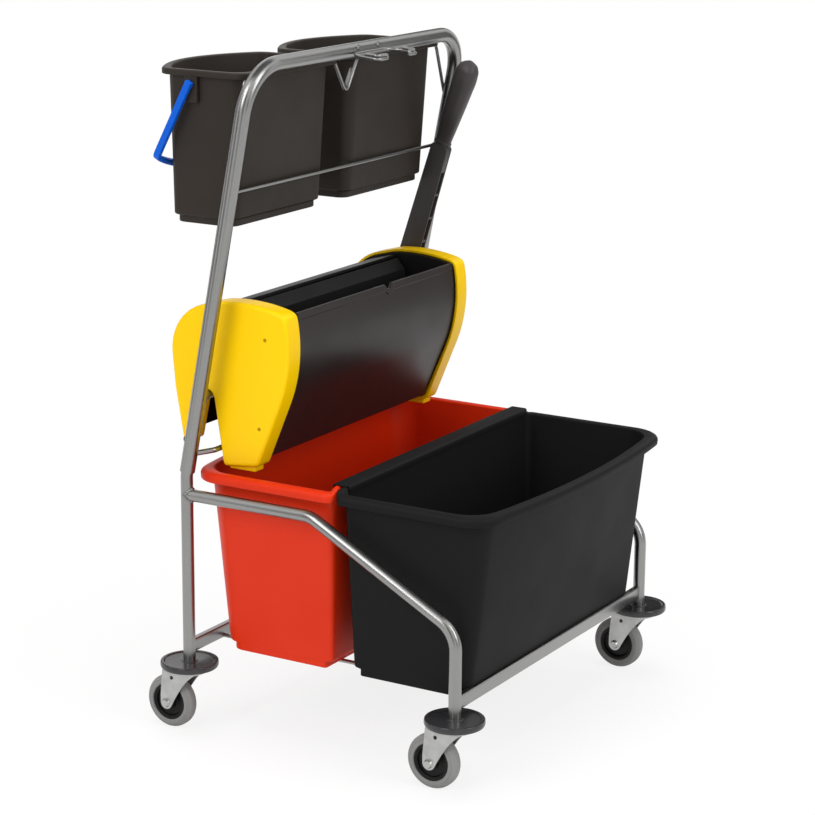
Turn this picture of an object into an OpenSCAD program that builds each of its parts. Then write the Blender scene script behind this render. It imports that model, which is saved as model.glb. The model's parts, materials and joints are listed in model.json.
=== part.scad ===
// Double mop bucket trolley: a bent-tube chassis on four swivel castors carries two tubs side by side,
// a lever press for flat mops over the rear tub, and two small pails hung on the push handle.
// Millimetres, +Z up, +X to the right, +Y towards the push handle.
// The origin lies on the floor, midway between the four castor stems.

/* [Castors] */
// Wheel diameter over the tyre
wheel_d = 80; // [70:1:100]
// Tyre width
wheel_w = 22; // [20:1:28]
// Hub diameter under the tyre
hub_d = 55; // [44:1:58]
// Distance the axle trails behind the stem
trail = 32; // [26:1:38]
// Bumper disc diameter
bumper_d = 86; // [76:1:100]
// Bumper disc thickness
bumper_t = 10; // [8:1:14]
// Stem diameter
stem_d = 12; // [10:0.5:13]
// Axle diameter
axle_d = 8; // [6:0.5:10]
// Fork sheet thickness
fork_t = 2.5; // [2:0.5:4]

/* [Chassis] */
// Distance between the left and right castor stems
track = 580; // [540:1:640]
// Distance between the front and rear castor stems
wheelbase = 448; // [430:1:520]
// Leg and rail tube diameter
tube_d = 18; // [17:0.5:20]
// Leg and rail tube wall
tube_wall = 1.5; // [1:0.1:2]
// Height where the sloping rail would meet the front leg
rail_low_z = 233; // [190:1:260]
// Level part of the side rail, measured from the rear leg
rail_level = 212; // [160:1:250]
// Bend radius of the side rail
rail_bend_r = 46; // [40:1:60]
// Height of the cross bars
bar_h = 20; // [16:1:22]
// Depth of the cross bars
bar_t = 10; // [8:1:12]
// Base wire diameter
base_wire_d = 6; // [5:0.5:7]
// Distance of the outer base wires from the middle
base_wire_x = 207; // [180:1:230]

/* [Push handle] */
// Handle tube diameter
hoop_d = 22; // [21.5:0.5:25]
// Height of the handle bar axis
hoop_top_z = 982; // [960:1:1050]
// Forward lean of the handle in degrees
hoop_lean = 11; // [8:0.5:13]
// Bend radius of the handle corners
hoop_bend_r = 65; // [50:1:80]
// Wire diameter of the pail rail, the stop wire and the clip
wire_d = 5; // [4:0.5:6]
// Half width of the V-shaped hook
hook_half = 32; // [26:1:40]
// Depth of the V-shaped hook
hook_drop = 46; // [35:1:50]
// Half width of the mop clip at the bar
clip_half = 54; // [45:1:65]
// Reach of the mop clip in front of the bar
clip_reach = 52; // [40:1:60]

/* [Tubs] */
// Height of a tub
tub_h = 270; // [255:1:285]
// Depth of the tub foot from front to back
tub_foot_depth = 168; // [160:1:173]
// Bow of the tub rim
tub_bow = 24; // [15:1:30]
// Rim overhang
tub_rim = 14; // [12:0.5:16]
// Rim skirt height
tub_skirt = 18; // [14:1:24]
// Wall thickness
tub_wall = 3; // [2.5:0.5:4]
// Corner radius on the bowed side
tub_corner_r = 42; // [30:1:50]
// Rim overhang on the flat side
tub_flat_rim = 8; // [7:0.5:10]

/* [Small pails] */
// Height of a pail
pail_h = 219; // [200:1:230]
// Depth of a pail from the front wall to the rear corners at the rim
pail_depth = 116; // [105:1:125]
// Bow of the pail rim
pail_bow = 45; // [35:1:50]
// Rim overhang
pail_rim = 13; // [12:0.5:15]
// Wall thickness
pail_wall = 2.5; // [2:0.5:3]
// Gap between the two pails
pail_gap = 42; // [38:1:50]
// Length of a bail leg
bail_leg = 117; // [110:1:122]
// Depth of the bail's section
bail_w = 10; // [8:1:12]
// Thickness of the bail's section
bail_t = 6; // [5:0.5:7]
// Angle of the resting bail from straight down in degrees
bail_rest = 28; // [28:1:40]

/* [Press] */
// Distance from the stem plane to the outer face of a cap
press_inset = 34; // [34:1:45]
// Width of a cap
cap_w = 32; // [26:1:38]
// Radius of the housing's rear arc
hub_r = 72; // [70:0.5:76]
// Cam shaft diameter
shaft_d = 16; // [14:0.5:18]
// Jaw hinge rod diameter
hinge_d = 8; // [6:0.5:9]
// Hanger rod diameter
hanger_d = 14; // [12:0.5:15]
// Stop rod diameter
stop_d = 8; // [6:0.5:9]
// Travel of the lever in degrees
lever_turn = 70; // [50:1:75]
// Jaw turn for each degree of lever turn
jaw_ratio = 0.2; // [0.15:0.01:0.21]
// Length of the lever arm
arm_len = 256; // [230:1:262]
// Length of the grip
grip_len = 143; // [120:1:150]

/* [Clearances] */
// Radial clearance of turning pieces
run_fit = 0.05; // [0.02:0.01:0.1]
// Gap between pieces that rest on each other but lift apart
rest_gap = 0.3; // [0.2:0.05:0.6]
// Gap between the cams and the jaw
cam_gap = 0.4; // [0.3:0.05:0.8]

/* [Hidden] */
$fn = 64;
half_track = track / 2;
front_y = -wheelbase / 2;
rear_y = wheelbase / 2;
axle_z = wheel_d / 2;
crown_z = wheel_d + 12;
crown_t = 3;
race_t = 3;
bumper_z = crown_z + crown_t + race_t + 1;
bumper_top = bumper_z + bumper_t;
leg_end_z = bumper_top + 9;
bar_z = leg_end_z + 1.5;
base_wire_z = bar_z + base_wire_d / 2;
tub_z = base_wire_z + base_wire_d / 2 + rest_gap;
tub_top = tub_z + tub_h;
rail_z = tub_top - tub_skirt - 8 - tube_d / 2;
lean_z = rail_z + 29;
hoop_end_z = lean_z + 6;
plug_top_z = lean_z + 62;
rivet_z = lean_z + 52;
rivet_d = 5;
plug_fit = 0.15;
leg_bore = tube_d - 2 * tube_wall;
hoop_bore = tube_d + 2 * plug_fit;
function post_y(z) = rear_y - (z - lean_z) * tan(hoop_lean);
bar_y = post_y(hoop_top_z);
fork_gap = wheel_w + 6;
fork_half = fork_gap / 2 + fork_t;
stop_wire_z = hoop_top_z - 178;
stop_wire_y = post_y(stop_wire_z) + hoop_d / 2 - wire_d / 2 - 3;
pail_rail_z = hoop_top_z - 17.5;
pail_rail_y = bar_y + hoop_d / 2 + wire_d / 2 + 14;
rail_end_z = hoop_top_z - 97;

tub_foot_in = 9;
tub_foot_h = 16;
tub_flat_taper = 9;
tub_end_taper = 15;
tub_bow_taper = 24;
tub_bow_low = 0;
tub_flat_r = 12;
tub_lip = 7;
tub_sheet = 3;
tub_half = half_track - 4 - tub_rim;
tub_foot_y = front_y + bar_t / 2 + 4;
tub_flat_y = tub_foot_y + tub_foot_depth + tub_foot_in + tub_flat_taper;
tub_mid_y = tub_flat_y + tub_flat_rim;
tub_bow_y = tub_foot_y - tub_foot_in - tub_bow_taper;
strip_gap = 0.5;
strip_t = 2.5;
strip_w = 2 * (tub_flat_rim + tub_wall) + strip_gap + 1.2;

pail_sheet = 3;
pail_skirt = 13;
pail_foot_in = 5;
pail_foot_h = 10;
pail_end_taper = 3;
pail_front_taper = 16;
pail_rear_taper = 0;
pail_len = (track - 2 * 18.5 - pail_gap) / 2;
pail_x = (pail_gap + pail_len) / 2;
pail_half = pail_len / 2 - pail_rim;
pail_top = pail_rail_z + wire_d / 2 + rest_gap + pail_sheet;
pail_z = pail_top - pail_h;
pail_front_y = pail_rail_y + wire_d / 2 + 2.5;
pail_rear_y = pail_front_y + pail_depth;
bail_pin_d = 8;
bail_y = pail_front_y + 0.7 * pail_depth;
bail_z = pail_top - 22;
bail_in = pail_len / 2 + 1.5;
bail_rise = 27;
boss_half = pail_len / 2 - 1;

hanger_z = tub_top + 107.7;
hanger_y = post_y(hanger_z) + 11;
cap_out = half_track - press_inset;
cap_in = cap_out - cap_w;
plate_t = 6;
plate_in = cap_in - plate_t;
sheet_t = 4;
sheet_in = 5;
lip_d = 8;
lip_notch_x = 31;
lip_notch_half = 11;
lip_notch_low = 3;
lip_notch_h = 12;
rear_in = 8;
cap_wall = 4;
shaft_p = [-11, 61];
hinge_p = [-65, -71];
notch_r = hanger_d / 2 + 5.5;
notch_z = hanger_d / 2 + 0.5 - notch_r;
front_r = 216;
front_c = [74, 79];
top_r = 290;
top_c = [-57, 140.7 - top_r];
jaw_lean = 8.6;
jaw_face = 15;
jaw_back = 19;
jaw_plate_t = 5;
jaw_h = 183;
jaw_half = plate_in - 6;
cam_x = 150;
cam_w = 14;
lever_side_gap = 1.5;
bolt_d = 8;
bolt_depth = 14;
arm_x0 = cap_out + lever_side_gap;
arm_t = 15.5;
arm_base_half = 19;
arm_end_half = 15;
lever_wire_gap = 3.55;
wire_rise = stop_wire_z - hanger_z - shaft_p[1];
wire_lead = hanger_y + shaft_p[0] - stop_wire_y;
arm_lean = atan2(wire_lead, wire_rise)
  + asin((arm_end_half + wire_d / 2 + lever_wire_gap) / norm([wire_lead, wire_rise]));
grip_lean = 3.5;
screw_d = 4;
screw_head_h = lever_side_gap - 0.6;
screw_p = [[-103, 92], [-92, -39]];
stop_p = [-19.5, -78];

function unit(v) = v / norm(v);
function clamp01(v) = min(1, max(0, v));

// Round bar from p to q
module rod(p, q, d) {
  v = q - p;
  translate(p)
    rotate([0, acos(v[2] / norm(v)), atan2(v[1], v[0])])
      cylinder(h = norm(v), d = d);
}

// Trim length that a bend of radius r takes from each side of corner b
function bend_trim(a, b, c, r) = r * tan(acos(unit(b - a) * unit(c - b)) / 2);

// Round bend at corner b, from the line a-b into the line b-c
module bend(a, b, c, r, d) {
  u = unit(b - a);
  w = unit(c - b);
  turn = acos(u * w);
  side = unit(w - u * (u * w));
  axis = cross(u, side);
  o = b - u * bend_trim(a, b, c, r) + side * r;
  multmatrix([
    [-side[0], u[0], axis[0], o[0]],
    [-side[1], u[1], axis[1], o[1]],
    [-side[2], u[2], axis[2], o[2]],
    [0, 0, 0, 1]])
    rotate_extrude(angle = turn)
      translate([r, 0])
        circle(d = d);
}

// Round bar along a list of points with a bend radius for each inner corner.
// A thin bead covers each line where a straight length runs into a bend.
module bent_rod(pts, radii, d) {
  n = len(pts);
  short = 0.1;
  half_bead = 0.4;
  for (i = [0 : n - 2]) {
    t0 = i == 0 ? 0 : bend_trim(pts[i - 1], pts[i], pts[i + 1], radii[i - 1]);
    t1 = i == n - 2 ? 0 : bend_trim(pts[i], pts[i + 1], pts[i + 2], radii[i]);
    u = unit(pts[i + 1] - pts[i]);
    p = pts[i] + u * t0;
    q = pts[i + 1] - u * t1;
    rod(p + u * (i == 0 ? 0 : short), q - u * (i == n - 2 ? 0 : short), d);
    if (i > 0)
      rod(p - u * half_bead, p + u * half_bead, d + 0.06);
    if (i < n - 2)
      rod(q - u * half_bead, q + u * half_bead, d + 0.06);
  }
  for (i = [1 : n - 2])
    bend(pts[i - 1], pts[i], pts[i + 1], radii[i - 1], d);
}

// Both handle posts as plain bars, used to trim what is welded to them
module post_bars(d) {
  for (s = [-1, 1])
    rod([s * half_track, post_y(hoop_end_z), hoop_end_z],
      [s * half_track, post_y(hoop_top_z), hoop_top_z], d);
}

// The list of points with its two ends moved outwards by e
function longer(pts, e) = [for (i = [0 : len(pts) - 1])
  i == 0 ? pts[0] - e * unit(pts[1] - pts[0]) :
  i == len(pts) - 1 ? pts[i] + e * unit(pts[i] - pts[i - 1]) : pts[i]];

// Is q inside the triangle a, b, c, whose corners run anticlockwise?
function in_tri(q, a, b, c) =
  cross(b - a, q - a) > 0 && cross(c - b, q - b) > 0 && cross(a - c, q - c) > 0;

// Triangles that fill the outline p, as lists of its indices, cut off it ear by ear
function ears(p, left) =
  let (n = len(left))
  n < 3 ? [] :
  let (
    ok = [for (k = [0 : n - 1])
      let (a = p[left[(k + n - 1) % n]], b = p[left[k]], c = p[left[(k + 1) % n]])
      if (cross(b - a, c - b) > 0 && len([for (q = left) if (in_tri(p[q], a, b, c)) q]) == 0) k],
    k = ok[0])
  concat([[left[(k + n - 1) % n], left[k], left[(k + 1) % n]]],
    ears(p, [for (j = [0 : n - 1]) if (j != k) left[j]]));

// Skin over rings of points with the same count, closed at both ends; flat is the outline of rings
// that aren't convex
module loft(rings, flat = []) {
  n = len(rings[0]);
  m = len(rings);
  all = [for (j = [0 : n - 1]) j];
  ends = len(flat) == 0 ? [all] : ears(flat, all);
  polyhedron(
    points = [for (ring = rings) for (p = ring) p],
    faces = concat(
      ends,
      [for (i = [0 : m - 2]) for (j = [0 : n - 1]) for (k = [0, 1])
        k == 0 ? [i * n + j, (i + 1) * n + (j + 1) % n, i * n + (j + 1) % n]
          : [i * n + j, (i + 1) * n + j, (i + 1) * n + (j + 1) % n]],
      [for (f = ends) [for (j = [len(f) - 1 : -1 : 0]) (m - 1) * n + f[j]]]),
    convexity = 8);
}

// Points of an arc about c from angle a0 to a1 in n steps
function arc(c, r, a0, a1, n) =
  [for (i = [0 : n]) let (a = a0 + (a1 - a0) * i / n) c + r * [cos(a), sin(a)]];

// Plan outline: half length a, straight side yf, bowed side yb, corner radii rf and rb
function plan(a, yf, yb, rf, rb) = concat(
  arc([a - rf, yf - rf], rf, 0, 90, 5),
  [for (i = [1 : 3]) [(a - rf) * (1 - i / 2), yf]],
  arc([rf - a, yf - rf], rf, 90, 180, 5),
  arc([rb - a, yb + rb], rb, 180, 270, 7),
  [for (i = [1 : 11]) [(a - rb) * (i / 6 - 1), yb]],
  arc([a - rb, yb + rb], rb, 270, 360, 7));

// Ring of the plan at height z, bowed by s and raised by lip along the straight side
function bowed_ring(a, yf, yb, rf, rb, s, z, lip) = [for (p = plan(a, yf, yb, rf, rb))
  [p[0], p[1] - s * (1 - pow(p[0] / a, 2)) * clamp01((yf - p[1]) / (yf - yb)),
    z + lip * clamp01((p[1] - yf + 0.3 * rf) / (0.3 * rf))]];

// Chassis

module side_rail(s) {
  x = s * half_track;
  pts = [[x, front_y, leg_end_z], [x, front_y, rail_low_z],
    [x, rear_y - rail_level, rail_z], [x, rear_y, rail_z]];
  radii = [rail_bend_r, rail_bend_r];
  color("#C9CBCE")
    difference() {
      bent_rod(pts, radii, tube_d);
      bent_rod(longer(pts, 1), radii, leg_bore);
      translate([x, rear_y, rail_z - tube_d])
        cylinder(h = 2 * tube_d, d = tube_d);
    }
}

module rivet_bores(d) {
  for (s = [-1, 1])
    translate([s * half_track, post_y(rivet_z), rivet_z])
      rotate([hoop_lean - 90, 0, 0])
        cylinder(h = hoop_d, d = d);
}

module rear_leg(s) {
  x = s * half_track;
  pts = [[x, rear_y, leg_end_z], [x, rear_y, lean_z], [x, post_y(plug_top_z), plug_top_z]];
  color("#C9CBCE")
    difference() {
      bent_rod(pts, [40], tube_d);
      bent_rod(longer(pts, 1), [40], leg_bore);
      rivet_bores(rivet_d);
    }
}

module handle_hoop() {
  pts = [for (s = [-1, 1]) for (k = s < 0 ? [0, 1] : [1, 0])
    let (z = k == 0 ? hoop_end_z : hoop_top_z) [s * half_track, post_y(z), z]];
  radii = [hoop_bend_r, hoop_bend_r];
  color("#C9CBCE")
    difference() {
      bent_rod(pts, radii, hoop_d);
      bent_rod(longer(pts, 1), radii, hoop_bore);
      rivet_bores(rivet_d);
      for (s = [-1, 1])
        translate([s * clip_half / 2, bar_y, hoop_top_z + 5])
          rotate([90, 0, 0])
            cylinder(h = hoop_d, d = rivet_d);
    }
}

module hoop_rivets() {
  color("#B9BBBE") {
    for (s = [-1, 1])
      translate([s * half_track, post_y(rivet_z), rivet_z])
        rotate([hoop_lean - 90, 0, 0]) {
          translate([0, 0, leg_bore / 2 - 1])
            cylinder(h = hoop_d / 2 - leg_bore / 2 + 2, d = rivet_d);
          translate([0, 0, hoop_d / 2])
            cylinder(h = 2.5, d1 = rivet_d + 5, d2 = rivet_d + 1);
        }
    for (s = [-1, 1])
      translate([s * clip_half / 2, bar_y, hoop_top_z + 5])
        rotate([90, 0, 0]) {
          translate([0, 0, hoop_bore / 2 - 4])
            cylinder(h = hoop_d / 2 - hoop_bore / 2 + 4, d = rivet_d);
          translate([0, 0, hoop_d / 2])
            cylinder(h = 2.5, d1 = rivet_d + 4, d2 = rivet_d);
        }
  }
}

module cross_bar(y) {
  inner = 1.5;
  color("#C9CBCE")
    difference() {
      translate([-half_track, y - bar_t / 2, bar_z])
        cube([track, bar_t, bar_h]);
      translate([-half_track - 1, y - bar_t / 2 + inner, bar_z + inner])
        cube([track + 2, bar_t - 2 * inner, bar_h - 2 * inner]);
      for (s = [-1, 1])
        translate([s * half_track, y, bar_z - 1])
          cylinder(h = bar_h + 2, d = tube_d);
    }
}

module base_wires() {
  color("#C9CBCE")
    for (k = [-1, -0.33, 0.33, 1])
      rod([k * base_wire_x, front_y + bar_t / 2, base_wire_z],
        [k * base_wire_x, rear_y - bar_t / 2, base_wire_z], base_wire_d);
}

module bucket_stop_wire() {
  y = stop_wire_y;
  color("#C9CBCE")
    difference() {
      rod([-half_track, y, stop_wire_z], [half_track, y, stop_wire_z], wire_d);
      post_bars(hoop_d);
    }
}

module bucket_rail_wire() {
  x1 = pail_x + pail_half + 2;
  ye = post_y(rail_end_z) + 9;
  y = pail_rail_y;
  z = pail_rail_z;
  doubled = wire_d + 0.2;
  color("#C9CBCE") {
    difference() {
      bent_rod([[-half_track + 4, ye, rail_end_z], [-x1, y, z], [-hook_half, y, z],
        [0, y, z - hook_drop], [hook_half, y, z], [x1, y, z], [half_track - 4, ye, rail_end_z]],
        [14, 9, 8, 9, 14], wire_d);
      post_bars(hoop_d);
    }
    rod([0.22 * hook_half, y + doubled, z - 0.78 * hook_drop],
      [0.68 * hook_half, y + doubled, z - 0.32 * hook_drop], wire_d);
  }
}

module mop_clip() {
  y = bar_y - hoop_d / 2 - wire_d / 2;
  z = hoop_top_z - 3;
  tip_y = y - clip_reach;
  color("#C9CBCE")
    difference() {
      bent_rod([[-clip_half + 7, tip_y, z - 3], [-clip_half + 16, tip_y + 10, z - 3], [-clip_half, y, z],
        [clip_half, y, z], [clip_half - 16, tip_y + 10, z - 3], [clip_half - 7, tip_y, z - 3]],
        [6, 9, 9, 6], wire_d);
      rod([-half_track, bar_y, hoop_top_z], [half_track, bar_y, hoop_top_z], hoop_d);
    }
}

module press_hanger_rod() {
  x0 = half_track - 2;
  x1 = cap_out + 4;
  z0 = hanger_z - 36;
  y = hanger_y;
  color("#C9CBCE")
    difference() {
      bent_rod([[-x0, y, z0], [-x1, y, hanger_z], [x1, y, hanger_z], [x0, y, z0]],
        [16, 16], hanger_d);
      post_bars(hoop_d);
    }
}

module press_stop_rod() {
  x0 = half_track;
  x1 = cap_out + 8;
  y = hanger_y + stop_p[0];
  z = hanger_z + stop_p[1];
  ye = post_y(z) - 3;
  color("#C9CBCE")
    difference() {
      bent_rod([[-x0, ye, z - 3], [-x1, y, z], [x1, y, z], [x0, ye, z - 3]], [10, 10], stop_d);
      post_bars(hoop_d);
    }
}

// Castors

module at_stems() {
  for (x = [-half_track, half_track])
    for (y = [front_y, rear_y])
      translate([x, y, 0])
        children();
}

module bumpers() {
  edge = 3;
  color("#464648")
    at_stems()
      translate([0, 0, bumper_z])
        rotate_extrude()
          difference() {
            union() {
              square([bumper_d / 2 - edge, bumper_t]);
              translate([0, edge])
                square([bumper_d / 2, bumper_t - 2 * edge]);
              for (z = [edge, bumper_t - edge])
                translate([bumper_d / 2 - edge, z])
                  circle(r = edge);
            }
            square([stem_d / 2, bumper_t]);
          }
}

module castor_stems() {
  color("#B9BBBE")
    at_stems() {
      translate([0, 0, crown_z - 4.5])
        cylinder(h = 4, d = stem_d + 8);
      translate([0, 0, crown_z - 1])
        cylinder(h = leg_end_z + 40 - crown_z, d = stem_d);
      translate([0, 0, leg_end_z])
        difference() {
          cylinder(h = 40, d = leg_bore);
          translate([0, 0, -1])
            cylinder(h = 42, d = stem_d - 2);
        }
    }
}

module fork(x, y) {
  head = 27;
  edge = 11;
  color("#BEC3B9")
    translate([x, y, 0])
      difference() {
        union() {
          translate([0, 0, crown_z])
            linear_extrude(crown_t)
              union() {
                circle(r = head);
                translate([-fork_half, 0])
                  square([2 * fork_half, trail + 6]);
              }
          translate([0, 0, crown_z + crown_t])
            cylinder(h = race_t, r = head - 4);
          for (s = [-1, 1])
            translate([s < 0 ? -fork_half : fork_half - fork_t, 0, 0])
              rotate([90, 0, 90])
                linear_extrude(fork_t)
                  union() {
                    polygon([[trail + 6, crown_z + crown_t], [-head + 8, crown_z + crown_t],
                      [-head + 9, crown_z - 3], [-8, crown_z - 7],
                      [trail - edge * 0.85, axle_z - edge * 0.53],
                      [trail + edge, axle_z]]);
                    translate([trail, axle_z])
                      circle(r = edge);
                  }
        }
        translate([0, 0, crown_z - 1])
          cylinder(h = crown_t + race_t + 2, r = stem_d / 2 + run_fit);
        translate([-fork_half - 1, trail, axle_z])
          rotate([0, 90, 0])
            cylinder(h = 2 * fork_half + 2, d = axle_d);
        translate([-fork_half - 1, trail - 10, crown_z - 5])
          rotate([0, 90, 0])
            cylinder(h = 2 * fork_half + 2, d = 5);
      }
}

module axle(x, y) {
  color("#A9ABAE")
    translate([x - fork_half, y + trail, axle_z])
      rotate([0, 90, 0]) {
        cylinder(h = 2 * fork_half, d = axle_d);
        translate([0, 0, -4])
          cylinder(h = 4, d1 = axle_d + 2, d2 = axle_d + 6);
        translate([0, 0, 2 * fork_half])
          cylinder(h = 5, d = axle_d + 6, $fn = 6);
      }
}

module hub(x, y) {
  w = wheel_w - 3;
  web = 8;
  color("#2A2A2A")
    translate([x, y + trail, axle_z])
      rotate([0, 90, 0])
        difference() {
          translate([0, 0, -w / 2])
            cylinder(h = w, d = hub_d);
          for (s = [-1, 1])
            translate([0, 0, s < 0 ? -w / 2 - 1 : web / 2])
              difference() {
                cylinder(h = (w - web) / 2 + 1, d = hub_d - 8);
                cylinder(h = (w - web) / 2 + 1, d = axle_d + 12);
              }
          translate([0, 0, -w / 2 - 1])
            cylinder(h = w + 2, r = axle_d / 2 + run_fit);
        }
}

module tyre(x, y) {
  edge = 7;
  color("#8C8C96")
    translate([x, y + trail, axle_z])
      rotate([0, 90, 0])
        rotate_extrude()
          difference() {
            translate([0, -wheel_w / 2])
              union() {
                square([wheel_d / 2 - edge, wheel_w]);
                translate([0, edge])
                  square([wheel_d / 2, wheel_w - 2 * edge]);
                for (z = [edge, wheel_w - edge])
                  translate([wheel_d / 2 - edge, z])
                    circle(r = edge);
              }
            translate([0, -wheel_w])
              square([hub_d / 2, 2 * wheel_w]);
          }
}

// Tubs

// Ring of the tub: offset d from the outer wall, share k of the taper, height z above the foot
function tub_ring(d, k, z, lip) = bowed_ring(
  tub_half - tub_end_taper * k + d,
  tub_flat_y - tub_flat_taper * k + (d > 0 ? d * tub_flat_rim / tub_rim : d),
  tub_bow_y + tub_bow_taper * k - d,
  max(4, tub_flat_r - 6 * k + d), max(5, tub_corner_r - 22 * k + d),
  tub_bow + (tub_bow_low - tub_bow) * k, tub_z + z, lip);

module tub() {
  h = tub_h;
  r = tub_rim;
  t = tub_sheet;
  w = tub_wall;
  f = tub_foot_h;
  loft([
    tub_ring(-tub_foot_in - 2, 1, 0, 0),
    tub_ring(-tub_foot_in, 1, 2, 0),
    tub_ring(-tub_foot_in, 1, f - 1, 0),
    tub_ring(-3, 1, f, 0),
    tub_ring(0, 0.985, f + 4, 0),
    tub_ring(0, 0, h - t, tub_lip),
    tub_ring(r - t, 0, h - t, tub_lip),
    tub_ring(r - t, 0, h - tub_skirt, tub_lip),
    tub_ring(r, 0, h - tub_skirt, tub_lip),
    tub_ring(r, 0, h - 6, tub_lip),
    tub_ring(r - 2, 0, h - 1.5, tub_lip),
    tub_ring(r - 6, 0, h, tub_lip),
    tub_ring(2 - w, 0, h, tub_lip),
    tub_ring(-w, 0, h - 3, tub_lip),
    tub_ring(-w, 0.985, f + 5, 0),
    tub_ring(-w - 6, 1, f - 2, 0),
    tub_ring(-tub_foot_in - w, 1, f - 3, 0),
    tub_ring(-tub_foot_in - w, 1, w + 2, 0),
    tub_ring(-tub_foot_in - w - 2, 1, w, 0)]);
}

module black_bucket() {
  color("#2D2D2D")
    tub();
}

module red_bucket() {
  color("#DA3824")
    translate([0, 2 * tub_mid_y + strip_gap, 0])
      rotate([0, 0, 180])
        tub();
}

module rim_link_strip() {
  z = tub_top + tub_lip + rest_gap;
  y = tub_mid_y + strip_gap / 2;
  l = 2 * (tub_half - tub_flat_r + 1);
  depth = 7;
  color("#2A2A2A")
    difference() {
      translate([-l / 2, y - strip_w / 2 - strip_t, z - depth])
        cube([l, strip_w + 2 * strip_t, depth + strip_t]);
      translate([-l / 2 - 1, y - strip_w / 2, z - depth - 1])
        cube([l + 2, strip_w, depth + 1]);
    }
}

// Small pails

// Ring of the pail with its straight front wall on y = 0 and its bow towards -y
function pail_ring(d, k, z) = bowed_ring(
  pail_half - pail_end_taper * k + d,
  d - pail_front_taper * k,
  pail_rear_taper * k - pail_depth - d,
  max(4, 22 - 6 * k + d), max(5, 42 - 18 * k + d),
  pail_bow * (1 - 0.6 * k), pail_z + z, 0);

module pail_shell() {
  h = pail_h;
  r = pail_rim;
  t = pail_sheet;
  w = pail_wall;
  f = pail_foot_h;
  loft([
    pail_ring(-pail_foot_in - 2, 1, 0),
    pail_ring(-pail_foot_in, 1, 2),
    pail_ring(-pail_foot_in, 1, f - 1),
    pail_ring(-2, 1, f),
    pail_ring(0, 0.985, f + 3),
    pail_ring(0, 0, h - t),
    pail_ring(r - t, 0, h - t),
    pail_ring(r - t, 0, h - pail_skirt),
    pail_ring(r, 0, h - pail_skirt),
    pail_ring(r, 0, h - 4),
    pail_ring(r - 1.5, 0, h - 1),
    pail_ring(r - 4, 0, h),
    pail_ring(2 - w, 0, h),
    pail_ring(-w, 0, h - 3),
    pail_ring(-w, 0.985, f + 4),
    pail_ring(-w - 3, 1, f - 1.5),
    pail_ring(-pail_foot_in - w, 1, f - 2.5),
    pail_ring(-pail_foot_in - w, 1, w + 2),
    pail_ring(-pail_foot_in - w - 2, 1, w)]);
}

module small_bucket(s) {
  boss_in = pail_half - pail_wall + 0.3;
  color("#3A342E")
    difference() {
      union() {
        translate([s * pail_x, pail_front_y, 0])
          rotate([0, 0, 180])
            pail_shell();
        for (e = [-1, 1])
          translate([s * pail_x + (e < 0 ? -boss_half : boss_in), bail_y - 11, bail_z - 24])
            cube([boss_half - boss_in, 22, pail_top - 2 - bail_z + 24]);
      }
      translate([s * pail_x - pail_len / 2 - 1, pail_rail_y - wire_d / 2 - 1.5, pail_top - pail_skirt - 1])
        cube([pail_len + 2, wire_d + 3, pail_skirt + 1 - pail_sheet]);
      for (e = [-1, 1])
        translate([s * pail_x + e * (boss_half + 1), bail_y, bail_z])
          rotate([0, -e * 90, 0])
            cylinder(h = 12, r = bail_pin_d / 2 + run_fit);
    }
}

module bail(s) {
  mid = bail_in + bail_t / 2;
  out = bail_in + bail_t;
  band = bail_t / 2 + 1;
  eye_d = bail_w + 4;
  proud = 0.5;
  r = (mid * mid + bail_rise * bail_rise) / (2 * bail_rise);
  o = bail_leg + bail_rise - r;
  color("#005ADC")
    translate([s * pail_x, bail_y, bail_z]) {
      rotate([bail_rest - 90, 0, 0])
        translate([0, 0, -bail_w / 2])
          linear_extrude(bail_w)
            intersection() {
              translate([0, o])
                circle(r = r + band, $fn = 256);
              union() {
                for (e = [-1, 1])
                  translate([e < 0 ? -out : bail_in, 0])
                    square([bail_t, bail_leg + bail_rise]);
                intersection() {
                  difference() {
                    translate([0, o])
                      circle(r = r + band, $fn = 256);
                    translate([0, o])
                      circle(r = r - band, $fn = 256);
                  }
                  translate([-out, bail_leg - 12])
                    square([2 * out, bail_rise + 40]);
                }
              }
            }
      for (e = [-1, 1])
        translate([(e < 0 ? -out : bail_in) - proud, 0, 0])
          rotate([0, 90, 0])
            cylinder(h = bail_t + 2 * proud, d = eye_d);
      for (e = [-1, 1])
        translate([e < 0 ? -bail_in - 0.5 : boss_half - 10.5, 0, 0])
          rotate([0, 90, 0])
            cylinder(h = bail_in - boss_half + 11, d = bail_pin_d);
    }
}

// Press

// Side outline of the housing moved inwards by e, about the hanger rod axis, in y and z
function press_outline(e) = concat(
  arc(shaft_p, hub_r - e, -9, 78, 12),
  arc(top_c, top_r - e, 83.7, 104, 6),
  arc(front_c, front_r - e, 167, 202.3, 10),
  [[1.25 * e - 87, e - 97], [-28 - 1.1 * e, e - 103]],
  arc([0, notch_z], notch_r + e, 180, 0, 10),
  [[27 + e, e - 74], [42 - e, e - 74], [56 - e, 5]]);

// Line of the front panel at inset e
function front_curve(e) = concat(
  arc(front_c, front_r - e, 166.5, 202.3, 14),
  [front_c + (front_r - e) * [cos(202.3), sin(202.3)] + 95 * [sin(22.3), -cos(22.3)]]);

// Line of the rear cover at inset e
function rear_curve(e) = concat(
  [[44.8 - e, -58], [56 - e, 5]],
  arc(shaft_p, hub_r - e, -9, 78, 14),
  arc(top_c, top_r - e, 83.7, 84.6, 1));

function back_to_front(a) = [for (i = [len(a) - 1 : -1 : 0]) a[i]];

// Extrudes a side outline along X from x0 over length l
module along_x(x0, l) {
  translate([x0, hanger_y, hanger_z])
    rotate([90, 0, 90])
      linear_extrude(l)
        children();
}

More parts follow.
